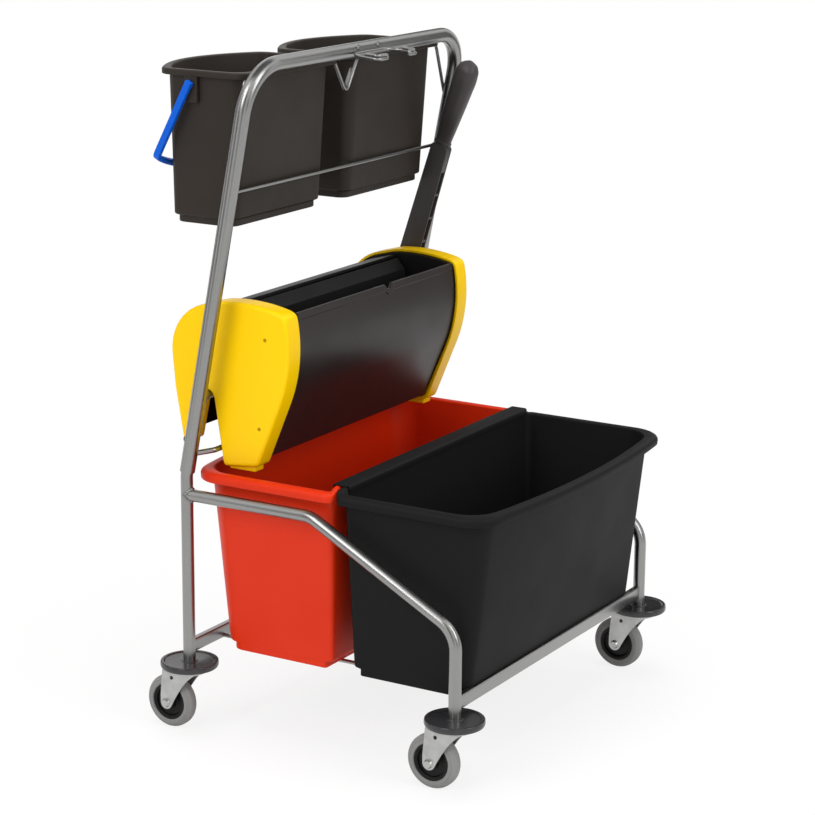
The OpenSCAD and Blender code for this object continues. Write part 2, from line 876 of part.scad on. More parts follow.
module press_cap(bore = 0) {
  ring = function (x, e) [for (p = press_outline(e)) [x, hanger_y + p[0], hanger_z + p[1]]];
  difference() {
    union() {
      loft([ring(cap_out - cap_wall, cap_wall), ring(cap_in, cap_wall), ring(cap_in, 0), ring(cap_out - 5, 0),
        ring(cap_out - 1.5, 1.7), ring(cap_out, 5)], press_outline(cap_wall));
      along_x(cap_in, cap_w - cap_wall / 2)
        for (p = screw_p)
          translate(p)
            circle(d = screw_d + 7);
    }
    along_x(cap_in - 1, cap_w + 2) {
      for (p = screw_p)
        translate(p)
          circle(d = screw_d);
      if (bore > 0)
        translate(shaft_p)
          circle(d = bore);
    }
  }
}

module press_cap_left() {
  color("#FDD005")
    mirror([1, 0, 0])
      press_cap();
}

module press_cap_right() {
  color("#FDD005")
    press_cap(shaft_d + 3);
}

module press_end_plate(s) {
  color("#2A2A2A")
    difference() {
      along_x(s < 0 ? -cap_in : plate_in, plate_t)
        polygon(press_outline(sheet_in));
      along_x(s < 0 ? -cap_in - 1 : plate_in - 1, plate_t + 2) {
        translate(shaft_p)
          circle(d = shaft_d + 8);
        translate(hinge_p)
          circle(d = hinge_d);
        for (p = screw_p)
          translate(p)
            circle(d = screw_d);
      }
    }
}

module press_front_panel() {
  lip = front_c + (front_r - sheet_in - 3) * [cos(166.5), sin(166.5)];
  color("#3C3836")
    difference() {
      union() {
        along_x(-plate_in, 2 * plate_in)
          polygon(concat(front_curve(sheet_in), back_to_front(front_curve(sheet_in + sheet_t))));
        along_x(-plate_in, 2 * plate_in)
          translate(lip)
            circle(d = lip_d);
      }
      translate([lip_notch_x, hanger_y + lip[0] + lip_d, hanger_z + lip[1] + lip_d / 2 + 1])
        rotate([90, 0, 0])
          linear_extrude(2 * lip_d)
            polygon([[-lip_notch_half, 0], [-lip_notch_low, -lip_notch_h], [lip_notch_low, -lip_notch_h],
              [lip_notch_half, 0]]);
    }
}

module press_rear_cover() {
  color("#2A2A2A")
    along_x(-plate_in, 2 * plate_in)
      polygon(concat(rear_curve(rear_in), back_to_front(rear_curve(rear_in + sheet_t))));
}

// Frame of the jaw: origin on its hinge, y to the back and z up along its face
module at_jaw() {
  translate([0, hanger_y + hinge_p[0], hanger_z + hinge_p[1]])
    rotate([-jaw_lean, 0, 0])
      children();
}

module jaw_slice(x0, l) {
  translate([x0, 0, 0])
    rotate([90, 0, 90])
      linear_extrude(l)
        children();
}

module press_jaw() {
  barrel = hinge_d + 8;
  back = jaw_plate_t - jaw_face;
  color("#3C3836")
    at_jaw()
      difference() {
        union() {
          jaw_slice(-jaw_half, 2 * jaw_half)
            polygon([[-jaw_face, -6], [-jaw_face, jaw_h], [-jaw_face + 11, jaw_h + 18],
              [-jaw_face + 15, jaw_h + 15.5], [back, jaw_h - 2], [back, -6]]);
          for (x = [-120, -90, -60, -30, 0, 30, 60, 90, 120])
            jaw_slice(x - 2, 4)
              polygon([[back - 1, -4], [0, -4], [0, 12], [jaw_back, 30], [jaw_back, jaw_h - 12],
                [back - 1, jaw_h]]);
          for (s = [-1, 1])
            jaw_slice(s * cam_x - 12, 24)
              polygon([[back - 1, -4], [0, -4], [0, 12], [jaw_back, 30], [jaw_back, jaw_h],
                [back - 1, jaw_h]]);
          jaw_slice(-cam_x - 12, 2 * cam_x + 24)
            circle(d = barrel);
        }
        jaw_slice(-jaw_half - 1, 2 * jaw_half + 2)
          circle(r = hinge_d / 2 + run_fit);
      }
}

module jaw_hinge_rod() {
  color("#B9BBBE")
    along_x(-cap_in, 2 * cap_in)
      translate(hinge_p)
        circle(d = hinge_d);
}

module jaw_springs() {
  color("#8E9092")
    for (s = [-1, 1])
      along_x(s < 0 ? -jaw_half + 2 : cam_x + 15, jaw_half - cam_x - 17)
        translate(hinge_p)
          difference() {
            circle(d = hinge_d + 6);
            circle(d = hinge_d);
          }
}

module cam_shaft() {
  color("#B9BBBE")
    difference() {
      along_x(-cap_in, cap_in + arm_x0 + arm_t - 1)
        translate(shaft_p)
          circle(d = shaft_d);
      along_x(arm_x0 - bolt_depth, bolt_depth + arm_t)
        translate(shaft_p)
          circle(d = bolt_d);
    }
}

// Point of the cam that touches the back of the jaw when the lever has turned by t degrees
function cam_point(t) = let (
  q = shaft_p - hinge_p,
  a = jaw_ratio * t - jaw_lean,
  h = q * [cos(a), sin(a)] - jaw_back - cam_gap,
  g = -jaw_ratio * (q * [-sin(a), cos(a)]) / (1 - jaw_ratio),
  f = 180 + a - t)
  h * [cos(f), sin(f)] + g * [-sin(f), cos(f)];

module drive_cams() {
  r = shaft_d / 2 + 4;
  color("#4A4A4A")
    for (s = [-1, 1])
      along_x(s * cam_x - cam_w / 2, cam_w)
        translate(shaft_p)
          difference() {
            union() {
              polygon(concat([for (i = [0 : 14]) cam_point(lever_turn * i / 14)],
                [[r, 0], [0, -r], [-r, 0]]));
              circle(r = r);
            }
            circle(d = shaft_d);
          }
}

module shaft_bushes() {
  color("#E8E4D8")
    for (s = [-1, 1])
      along_x(s < 0 ? -cap_in : plate_in, plate_t)
        translate(shaft_p)
          difference() {
            circle(d = shaft_d + 8);
            circle(r = shaft_d / 2 + run_fit);
          }
}

// Frame of the lever: origin on the shaft axis, z up along the arm
module at_lever() {
  translate([0, hanger_y + shaft_p[0], hanger_z + shaft_p[1]])
    rotate([arm_lean, 0, 0])
      children();
}

module lever_arm() {
  w0 = arm_base_half;
  w1 = arm_end_half;
  pitch = 30;
  color("#504846")
    at_lever()
      difference() {
        union() {
          jaw_slice(arm_x0, arm_t)
            polygon([[-w0, 0], [w0, 0], [w1, arm_len], [-w1, arm_len]]);
          jaw_slice(arm_x0, arm_t)
            circle(r = w0);
          translate([arm_x0 + arm_t / 2 - 3.5, -8, arm_len - 1])
            cube([7, 16, 71]);
        }
        jaw_slice(arm_x0 - 1, arm_t + 2)
          circle(d = shaft_d);
        for (z = [34 : pitch : arm_len - pitch])
          translate([arm_x0 + 2.5, -w0 - 1, z])
            cube([arm_t - 5, 15, pitch - 4]);
      }
}

module lever_grip() {
  l = grip_len;
  x0 = arm_x0 + arm_t / 2;
  shift = 6;
  soft = function (v) sign(v) * pow(abs(v), 0.75);
  ring = function (z, hx, hy) [for (i = [0 : 23])
    [x0 - shift * clamp01(z / 50) + hx * soft(cos(15 * i)), hy * soft(sin(15 * i)) - 2, z]];
  color("#504846")
    at_lever()
      difference() {
        translate([0, 0, arm_len])
          rotate([grip_lean, 0, 0])
            translate([0, 0, 1.2])
              loft([ring(0, 7.7, 13), ring(10, 8.5, 13.5), ring(30, 11, 14), ring(60, 13, 14.5),
                ring(l - 45, 13.5, 15), ring(l - 20, 13, 14.5), ring(l - 8, 10.5, 11.5),
                ring(l - 2, 6.5, 7), ring(l, 3, 3.5)]);
        translate([x0 - 3.6, -8.1, arm_len - 1])
          cube([7.2, 16.2, 71.5]);
      }
}

module lever_bolt() {
  color("#B9BBBE") {
    along_x(arm_x0 - bolt_depth + 4, arm_t + bolt_depth - 4)
      translate(shaft_p)
        circle(d = bolt_d);
    along_x(arm_x0 + arm_t, 3)
      translate(shaft_p)
        circle(d = shaft_d + 4);
  }
}

module cap_screws() {
  color("#B9BBBE")
    for (s = [-1, 1])
      for (p = screw_p) {
        along_x(s < 0 ? -cap_out : plate_in + 1, cap_out - plate_in - 1)
          translate(p)
            circle(d = screw_d);
        along_x(s < 0 ? -cap_out - screw_head_h : cap_out, screw_head_h)
          translate(p)
            circle(d = screw_d + 4);
      }
}

side_rail(-1);  // side_rail_left
side_rail(1);  // side_rail_right
rear_leg(-1);  // rear_leg_left
rear_leg(1);  // rear_leg_right
handle_hoop();
hoop_rivets();
cross_bar(front_y);  // front_cross_bar
cross_bar(rear_y);  // rear_cross_bar
base_wires();
bucket_stop_wire();
bucket_rail_wire();
mop_clip();
press_hanger_rod();
press_stop_rod();
bumpers();
castor_stems();
fork(-half_track, front_y);  // fork_front_left
axle(-half_track, front_y);  // axle_front_left
hub(-half_track, front_y);  // hub_front_left
tyre(-half_track, front_y);  // tyre_front_left
fork(half_track, front_y);  // fork_front_right
axle(half_track, front_y);  // axle_front_right
hub(half_track, front_y);  // hub_front_right
tyre(half_track, front_y);  // tyre_front_right
fork(-half_track, rear_y);  // fork_rear_left
axle(-half_track, rear_y);  // axle_rear_left
hub(-half_track, rear_y);  // hub_rear_left
tyre(-half_track, rear_y);  // tyre_rear_left
fork(half_track, rear_y);  // fork_rear_right
axle(half_track, rear_y);  // axle_rear_right
hub(half_track, rear_y);  // hub_rear_right
tyre(half_track, rear_y);  // tyre_rear_right
red_bucket();
black_bucket();
rim_link_strip();
small_bucket(-1);  // small_bucket_left
small_bucket(1);  // small_bucket_right
bail(-1);  // bail_left
bail(1);  // bail_right
press_cap_left();
press_cap_right();
press_end_plate(-1);  // press_end_plate_left
press_end_plate(1);  // press_end_plate_right
press_front_panel();
press_rear_cover();
press_jaw();
jaw_hinge_rod();
jaw_springs();
cam_shaft();
drive_cams();
shaft_bushes();
lever_arm();
lever_grip();
lever_bolt();
cap_screws();
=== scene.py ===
"""Looks of a double mop bucket trolley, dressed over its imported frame.

Lengths are millimetres until a mesh is made. +Z is up, +X is to the right and +Y points to the push handle.
"""

import json
import logging
import math
from dataclasses import dataclass
from enum import Enum
from typing import Iterable, Sequence

import bmesh
import bpy
import numpy as np
from mathutils import Matrix, Vector


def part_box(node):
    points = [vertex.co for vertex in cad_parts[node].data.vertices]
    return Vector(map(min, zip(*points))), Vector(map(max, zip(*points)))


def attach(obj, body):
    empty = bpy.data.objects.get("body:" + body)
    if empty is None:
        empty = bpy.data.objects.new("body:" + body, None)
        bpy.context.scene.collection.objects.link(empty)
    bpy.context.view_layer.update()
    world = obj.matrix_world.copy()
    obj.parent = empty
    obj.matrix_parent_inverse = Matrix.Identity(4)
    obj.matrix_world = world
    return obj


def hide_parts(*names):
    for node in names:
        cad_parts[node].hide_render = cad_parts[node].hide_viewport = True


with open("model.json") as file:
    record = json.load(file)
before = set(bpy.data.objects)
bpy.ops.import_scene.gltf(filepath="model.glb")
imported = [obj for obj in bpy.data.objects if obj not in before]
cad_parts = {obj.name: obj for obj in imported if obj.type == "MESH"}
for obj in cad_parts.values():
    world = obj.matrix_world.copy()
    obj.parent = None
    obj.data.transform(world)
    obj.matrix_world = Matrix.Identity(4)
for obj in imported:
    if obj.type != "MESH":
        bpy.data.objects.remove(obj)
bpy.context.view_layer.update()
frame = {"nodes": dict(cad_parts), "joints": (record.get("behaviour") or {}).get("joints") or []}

LOG = logging.getLogger("trolley")
MM = 0.001
SIDES = {"left": -1.0, "right": 1.0}
CORNERS = {"front_left": (-1, -1), "front_right": (1, -1), "rear_left": (-1, 1), "rear_right": (1, 1)}
JOINT_POS = {j["name"]: np.array(j["pos_m"]) / MM for j in frame["joints"] if "pos_m" in j}
Array = np.ndarray
# Points of a mesh that are closer than this become one, in metres
MERGE = 1e-7
# Edges that turn by more than this many degrees are shaded sharp
CREASE = 35.0
# Edges round a weld bead, a wire, a rod, a tube and the handle's thick tube
BEAD_EDGES, WIRE_EDGES, ROD_EDGES, TUBE_EDGES, HOOP_EDGES = 10, 24, 36, 40, 48
# Angle of the first ring of a rounded wire end, just off its pole
BALL_TIP = 0.06
# Octaves of a soft and of a fine noise, and the part of its range that a noise mostly fills
SOFT_OCTAVES, FINE_OCTAVES = 3.0, 2.0
NOISE_SPAN = (0.3, 0.7)


class Body(str, Enum):
    """Bodies of the frame that new pieces ride on."""

    CHASSIS = "chassis"
    LEVER = "lever"
    BLACK_TUB = "black_tub"


class Axis(Enum):
    """Axis that a turned piece is spun about."""

    X = "x"
    Z = "z"


# Small vector and outline tools


def unit(v: Array) -> Array:
    """Scales vectors along the last axis to length one.

    Args:
        v: Vectors.

    Returns:
        Vectors of length one.
    """
    return v / np.linalg.norm(v, axis=-1, keepdims=True)


def box_mm(node: str) -> tuple[Array, Array]:
    """Lowest and highest corner of a frame node.

    Args:
        node: Name of the node.

    Returns:
        Both corners in millimetres.
    """
    low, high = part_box(node)
    return np.array(low) / MM, np.array(high) / MM


def bent_line(corners: Sequence, radii: Sequence[float], steps: int = 14) -> Array:
    """Open line with a round bend at each inner corner.

    Each bend is centre - side r cos t + ahead r sin t, where ahead is the line before the corner and side
    is square to it, towards the line after the corner.

    Args:
        corners: Corner points, in two or three dimensions.
        radii: Bend radius of each inner corner.
        steps: Points on each bend.

    Returns:
        Points along the line.
    """
    p = np.asarray(corners, float)
    parts = [p[:1]]
    for a, b, c, r in zip(p[:-2], p[1:-1], p[2:], radii):
        ahead, after = unit(b - a), unit(c - b)
        turn = math.acos(float(np.clip(ahead @ after, -1, 1)))
        side = unit(after - ahead * (ahead @ after))
        centre = b - ahead * r * math.tan(turn / 2) + side * r
        t = np.linspace(0, turn, steps)[:, None]
        parts.append(centre - side * r * np.cos(t) + ahead * r * np.sin(t))
    parts.append(p[-1:])
    return np.vstack(parts)


def bent_loop(corners: Sequence, radii: Sequence[float], steps: int = 6) -> Array:
    """Closed outline with a round bend at every corner.

    Args:
        corners: Corner points in order.
        radii: Bend radius of each corner.
        steps: Points on each bend.

    Returns:
        Points round the outline, the first not repeated.
    """
    p = np.asarray(corners, float)
    ring = np.vstack([p[-1:], p, p[:1]])
    return bent_line(ring, radii, steps)[1:-1]


def arc(centre: Sequence[float], r: float, start: float, end: float, steps: int) -> Array:
    """Points of a flat arc, centre + r (cos a, sin a), from one angle in degrees to another."""
    a = np.radians(np.linspace(start, end, steps))[:, None]
    return np.asarray(centre, float) + r * np.hstack([np.cos(a), np.sin(a)])


def circle(d: float, steps: int) -> Array:
    """Outline of a round section of diameter d."""
    return arc((0, 0), d / 2, 0, 360 - 360 / steps, steps)


def round_rect(w: float, h: float, r: float, steps: int = 5) -> Array:
    """Outline of a w by h section with corners of radius r."""
    x, y = w / 2, h / 2
    return bent_loop([(x, -y), (x, y), (-x, y), (-x, -y)], [r] * 4, steps)


def resample(points: Array, count: int, closed: bool = False) -> Array:
    """Spreads points evenly along a line by its arc length.

    Args:
        points: Points of the line.
        count: Number of points wanted.
        closed: True where the line runs back to its start.

    Returns:
        Evenly spread points.
    """
    p = np.vstack([points, points[:1]]) if closed else points
    s = np.concatenate([[0], np.cumsum(np.linalg.norm(np.diff(p, axis=0), axis=1))])
    at = np.linspace(0, s[-1], count, endpoint=not closed)
    return np.stack([np.interp(at, s, p[:, k]) for k in range(p.shape[1])], axis=1)


def split(points: Array, longest: float) -> Array:
    """Adds points to a closed outline so that no edge is longer than a limit.

    Args:
        points: Points of the outline.
        longest: Longest edge wanted.

    Returns:
        The outline with its longer edges divided evenly.
    """
    span = np.roll(points, -1, axis=0) - points
    count = np.maximum(1, np.ceil(np.linalg.norm(span, axis=1) / longest)).astype(int)
    step = np.arange(count.sum()) - np.repeat(np.cumsum(count) - count, count)
    return np.repeat(points, count, axis=0) + np.repeat(span / count[:, None], count, axis=0) * step[:, None]


def flowing(at: Array, knots: Array, values: Array) -> Array:
    """Smooth curve through knots: cubic pieces that take the neighbours' slope at each knot.

    Args:
        at: Places where the curve is wanted.
        knots: Places of the knots, in rising order.
        values: Value at each knot.

    Returns:
        Value at each place.
    """
    slope = np.gradient(values, knots)
    i = np.clip(np.searchsorted(knots, at, side="right") - 1, 0, len(knots) - 2)
    h = knots[i + 1] - knots[i]
    t = (at - knots[i]) / h
    near = (1 + 2 * t) * values[i] + t * h * slope[i]
    far = (3 - 2 * t) * values[i + 1] - (1 - t) * h * slope[i + 1]
    return (1 - t) ** 2 * near + t ** 2 * far


def soften(points: Array, sigma: float) -> Array:
    """Rounds the corners of an evenly spread closed outline.

    Each point becomes the Gaussian average of its neighbours, worked out on the outline's Fourier terms.

    Args:
        points: Evenly spread points of the outline.
        sigma: Width of the average, in points.

    Returns:
        Softened points.
    """
    turns = np.fft.fftfreq(len(points))[:, None]
    weight = np.exp(-2 * (math.pi * sigma * turns) ** 2)
    return np.real(np.fft.ifft(np.fft.fft(points, axis=0) * weight, axis=0))


def soften_line(points: Array, sigma: float, reach: int) -> Array:
    """Rounds the corners of an evenly spread open line.

    Each point becomes the Gaussian average of its neighbours, after both ends are run on straight.

    Args:
        points: Evenly spread points of the line.
        sigma: Width of the average, in points.
        reach: Points on either side that the average takes in.

    Returns:
        Softened points, as many as before.
    """
    weight = np.exp(-0.5 * (np.arange(-reach, reach + 1) / sigma) ** 2)
    weight /= weight.sum()
    head = points[0] + (points[0] - points[1]) * np.arange(reach, 0, -1)[:, None]
    tail = points[-1] + (points[-1] - points[-2]) * np.arange(1, reach + 1)[:, None]
    wide = np.vstack([head, points, tail])
    return np.stack([np.convolve(wide[:, k], weight, "valid") for k in range(points.shape[1])], axis=1)


def outward(outline: Array) -> Array:
    """Unit normals of a closed flat outline, pointing out of it.

    Args:
        outline: Points in order.

    Returns:
        One normal for each point.
    """
    tangent = np.roll(outline, -1, axis=0) - np.roll(outline, 1, axis=0)
    x, y = outline[:, 0], outline[:, 1]
    area = np.sum(x * np.roll(y, -1) - y * np.roll(x, -1))
    normal = np.stack([tangent[:, 1], -tangent[:, 0]], axis=1)
    return unit(normal) * math.copysign(1.0, area)


# Surfaces


@dataclass
class Shell:
    """Closed surface in millimetres, with a coordinate that follows its length for streaked finishes."""

    points: Array
    faces: list[list[int]]
    lay: Array

    @staticmethod
    def join(shells: Iterable["Shell"]) -> "Shell":
        """Puts several shells into one.

        Args:
            shells: Shells to put together.

        Returns:
            One shell that holds them all.
        """
        parts = list(shells)
        starts = np.cumsum([0] + [len(s.points) for s in parts[:-1]])
        faces = [[i + int(n) for i in f] for s, n in zip(parts, starts) for f in s.faces]
        return Shell(np.vstack([s.points for s in parts]), faces, np.vstack([s.lay for s in parts]))

    def moved(self, turn: Matrix | None = None, offset: Sequence[float] = (0, 0, 0)) -> "Shell":
        """Turns the shell about the origin, then shifts it.

        Args:
            turn: Rotation, or none.
            offset: Shift in millimetres.

        Returns:
            The shell in its new place.
        """
        points = self.points if turn is None else self.points @ np.array(turn.to_3x3()).T
        return Shell(points + np.asarray(offset, float), self.faces, self.lay)

    def flipped(self) -> "Shell":
        """The shell mirrored from one side of the trolley to the other."""
        return Shell(self.points * (-1, 1, 1), self.faces, self.lay)


def skin(grid: Array, wrap_rows: bool = False, wrap_cols: bool = True, lay: Array | None = None) -> Shell:
    """Shell over a grid of points, with flat caps where its rows end.

    Args:
        grid: Points by row and column.
        wrap_rows: True where the last row meets the first.
        wrap_cols: True where the last column meets the first.
        lay: Coordinate that follows the surface, or none for the points themselves.

    Returns:
        The shell.
    """
    rows, cols = grid.shape[:2]
    index = np.arange(rows * cols).reshape(rows, cols)
    wide = np.hstack([index, index[:, :1]]) if wrap_cols else index
    tall = np.vstack([wide, wide[:1]]) if wrap_rows else wide
    quads = np.stack([tall[:-1, :-1], tall[:-1, 1:], tall[1:, 1:], tall[1:, :-1]], axis=-1)
    faces = quads.reshape(-1, 4).tolist()
    if wrap_cols and not wrap_rows:
        faces += [index[0, ::-1].tolist(), index[-1].tolist()]
    flat = grid.reshape(-1, 3)
    return Shell(flat, faces, flat if lay is None else lay.reshape(-1, 3))


def sweep(line: Array, section: Array, up: Sequence[float], size: Array | None = None,
          closed: bool = False) -> Shell:
    """Carries a flat section along a line.

    A surface point is the line's point + u across + v rise, where across is square to the line and to up,
    and rise is square to both.

    Args:
        line: Points of the line.
        section: Outline of the section.
        up: Direction that no part of the line runs along.
        size: Scale of the section at each point, or none.
        closed: True where the line is a loop.

    Returns:
        The shell, whose lay coordinate is the length along the line and the place in the section.
    """
    ahead = np.roll(line, -1, axis=0) - np.roll(line, 1, axis=0) if closed else np.gradient(line, axis=0)
    ahead = unit(ahead)
    across = unit(np.cross(np.asarray(up, float), ahead))
    rise = np.cross(ahead, across)
    scale = np.ones(len(line)) if size is None else size
    flat = section[None] * scale[:, None, None]
    grid = line[:, None] + flat[..., :1] * across[:, None] + flat[..., 1:] * rise[:, None]
    run = np.concatenate([[0], np.cumsum(np.linalg.norm(np.diff(line, axis=0), axis=1))])
    length = np.broadcast_to(run[:, None, None], flat[..., :1].shape)
    return skin(grid, wrap_rows=closed, lay=np.concatenate([length, flat], axis=-1))


def round_ended(line: Array, d: float, steps: int = 6) -> tuple[Array, Array]:
    """Adds a half-ball to both ends of a line that a round section follows.

    Args:
        line: Points of the line.
        d: Diameter of the section.
        steps: Rings on each half-ball.

    Returns:
        The longer line and the section's scale at each of its points.
    """
    t = np.linspace(BALL_TIP, math.pi / 2, steps)[:-1, None]
    head, tail = unit(line[0] - line[1]), unit(line[-1] - line[-2])
    first = line[0] + head * np.cos(t) * d / 2
    last = (line[-1] + tail * np.cos(t) * d / 2)[::-1]
    ends = np.sin(t)[:, 0]
    return np.vstack([first, line, last]), np.concatenate([ends, np.ones(len(line)), ends[::-1]])


def wire(corners: Sequence, radii: Sequence[float], d: float, up: Sequence[float]) -> Shell:
    """Bent round wire with rounded ends.

    Args:
        corners: Corner points.
        radii: Bend radii.
        d: Diameter.
        up: Direction square to most of the line.

    Returns:
        The shell.
    """
    line, size = round_ended(bent_line(corners, radii), d)
    return sweep(line, circle(d, WIRE_EDGES), up, size)


def turned(profile: Array, centre: Sequence[float], axis: Axis, closed: bool = False,
           steps: int = 72) -> Shell:
    """Spins a profile of radius and height about an axis.

    A surface point is centre + r (cos a, sin a) + height along the axis.

    Args:
        profile: Radius and height of each point.
        centre: Point on the axis where the height is nought.
        axis: Axis to spin about.
        closed: True where the profile is a loop, as on a ring.
        steps: Points round the axis.

    Returns:
        The shell.
    """
    a = np.linspace(0, 2 * math.pi, steps, endpoint=False)[:, None]
    r, h = profile[None, :, 0], profile[None, :, 1]
    u, v, w = r * np.cos(a), r * np.sin(a), np.broadcast_to(h, (steps, len(profile)))
    order = (w, u, v) if axis is Axis.X else (u, v, w)
    grid = np.stack(order, axis=-1) + np.asarray(centre, float)
    run = np.broadcast_to(a * profile[:, 0].max(), u.shape)
    lay = np.stack([run, np.broadcast_to(r, u.shape), w], axis=-1)
    return skin(grid, wrap_rows=True, wrap_cols=closed, lay=lay)


def plate(outline: Array, x0: float, x1: float, edge: float, steps: int = 4,
          hole: tuple[float, float, float] | None = None) -> Shell:
    """Flat piece square to X with rounded edges and, at will, one round hole.

    Row i is the outline moved inwards by edge (1 - sin t) at depth edge (1 - cos t), with t a quarter turn.
    The hole's rim is centre + r times the direction from the centre to each point of the outline.

    Args:
        outline: Side outline in y and z.
        x0: First face.
        x1: Second face.
        edge: Radius of the rounded edges.
        steps: Rows on each edge.
        hole: Centre in y and z and radius of a hole that sees the whole outline, or none.

    Returns:
        The shell.
    """
    t = np.linspace(0, math.pi / 2, steps)
    inset, depth = edge * (1 - np.sin(t)), edge * (1 - np.cos(t))
    x = np.concatenate([x0 + depth, x1 - depth[::-1]])
    inset = np.concatenate([inset, inset[::-1]])
    flat = outline[None] - inset[:, None, None] * outward(outline)[None]
    if hole is not None:
        centre = np.array(hole[:2])
        rim = (centre + unit(outline - centre) * hole[2])[None]
        flat = np.concatenate([rim, flat, rim])
        x = np.concatenate([[x0], x, [x1]])
    grid = np.concatenate([np.broadcast_to(x[:, None, None], flat[..., :1].shape), flat], axis=-1)
    return skin(grid, wrap_rows=hole is not None)


def block(low: Sequence[float], high: Sequence[float], edge: float) -> Shell:
    """Box with rounded edges: a plate whose side outline is a rectangle with round corners.

    Args:
        low: Lowest corner.
        high: Highest corner.
        edge: Radius of the rounded edges.

    Returns:
        The shell.
    """
    (x0, y0, z0), (x1, y1, z1) = low, high
    outline = round_rect(y1 - y0, z1 - z0, edge) + ((y0 + y1) / 2, (z0 + z1) / 2)
    return plate(outline, x0, x1, edge)


# Pieces


def add_piece(name: str, shell: Shell, finish: "Finish", body: str, replaces: Sequence[str] = ()) -> None:
    """Makes a Blender piece from a shell and ties it to the frame.

    Args:
        name: Name of the piece.
        shell: Its surface.
        finish: Its finish.
        body: Frame body that it rides on.
        replaces: Frame nodes that it stands for.
    """
    mesh = bpy.data.meshes.new(name)
    mesh.from_pydata((shell.points * MM).tolist(), [], shell.faces)
    lay = mesh.attributes.new("lay", "FLOAT_VECTOR", "POINT")
    lay.data.foreach_set("vector", (shell.lay * MM).astype(np.float32).ravel())
    work = bmesh.new()
    work.from_mesh(mesh)
    bmesh.ops.remove_doubles(work, verts=work.verts, dist=MERGE)
    bmesh.ops.recalc_face_normals(work, faces=work.faces)
    work.to_mesh(mesh)
    work.free()
    mesh.shade_smooth()
    mesh.set_sharp_from_angle(angle=math.radians(CREASE))
    mesh.materials.append(finish.material())
    piece = bpy.data.objects.new(name, mesh)
    bpy.context.scene.collection.objects.link(piece)
    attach(piece, body)
    if replaces:
        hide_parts(*replaces)
    LOG.info("%s: %d faces on %s", name, len(mesh.polygons), body)


def dress(finish: "Finish", nodes: Iterable[str]) -> None:
    """Gives frame nodes that stay visible a finish.

    Args:
        finish: The finish.
        nodes: Names of the nodes.
    """
    for name in nodes:
        slots = frame["nodes"][name].data.materials
        slots.clear()
        slots.append(finish.material())
        LOG.info("%s: dressed in %s", name, finish.name)


# Finishes


def linear(code: str) -> tuple[float, float, float, float]:
    """Linear colour of an sRGB hex value.

    Args:
        code: Six hex digits after a hash.

    Returns:
        Red, green, blue and one.
    """
    s = [int(code[i:i + 2], 16) / 255 for i in (1, 3, 5)]
    r, g, b = (c / 12.92 if c <= 0.04045 else ((c + 0.055) / 1.055) ** 2.4 for c in s)
    return r, g, b, 1.0


def per_mm(size: float) -> float:
    """Texture scale, in cycles a metre, of a pattern whose grains are size millimetres wide."""
    return 1 / (size * MM)


def add_node(tree: bpy.types.NodeTree, kind: str, inputs: dict | None = None, **settings) -> bpy.types.Node:
    """Adds a node with its settings, and sets or links its inputs.

    Args:
        tree: Node tree.
        kind: Blender's name of the node's type.
        inputs: Value or output socket for each named input.
        settings: Properties of the node.

    Returns:
        The node.
    """
    made = tree.nodes.new(kind)
    for key, value in settings.items():
        setattr(made, key, value)
    for key, value in (inputs or {}).items():
        if isinstance(value, bpy.types.NodeSocket):
            tree.links.new(value, made.inputs[key])
        else:
            made.inputs[key].default_value = value
    return made


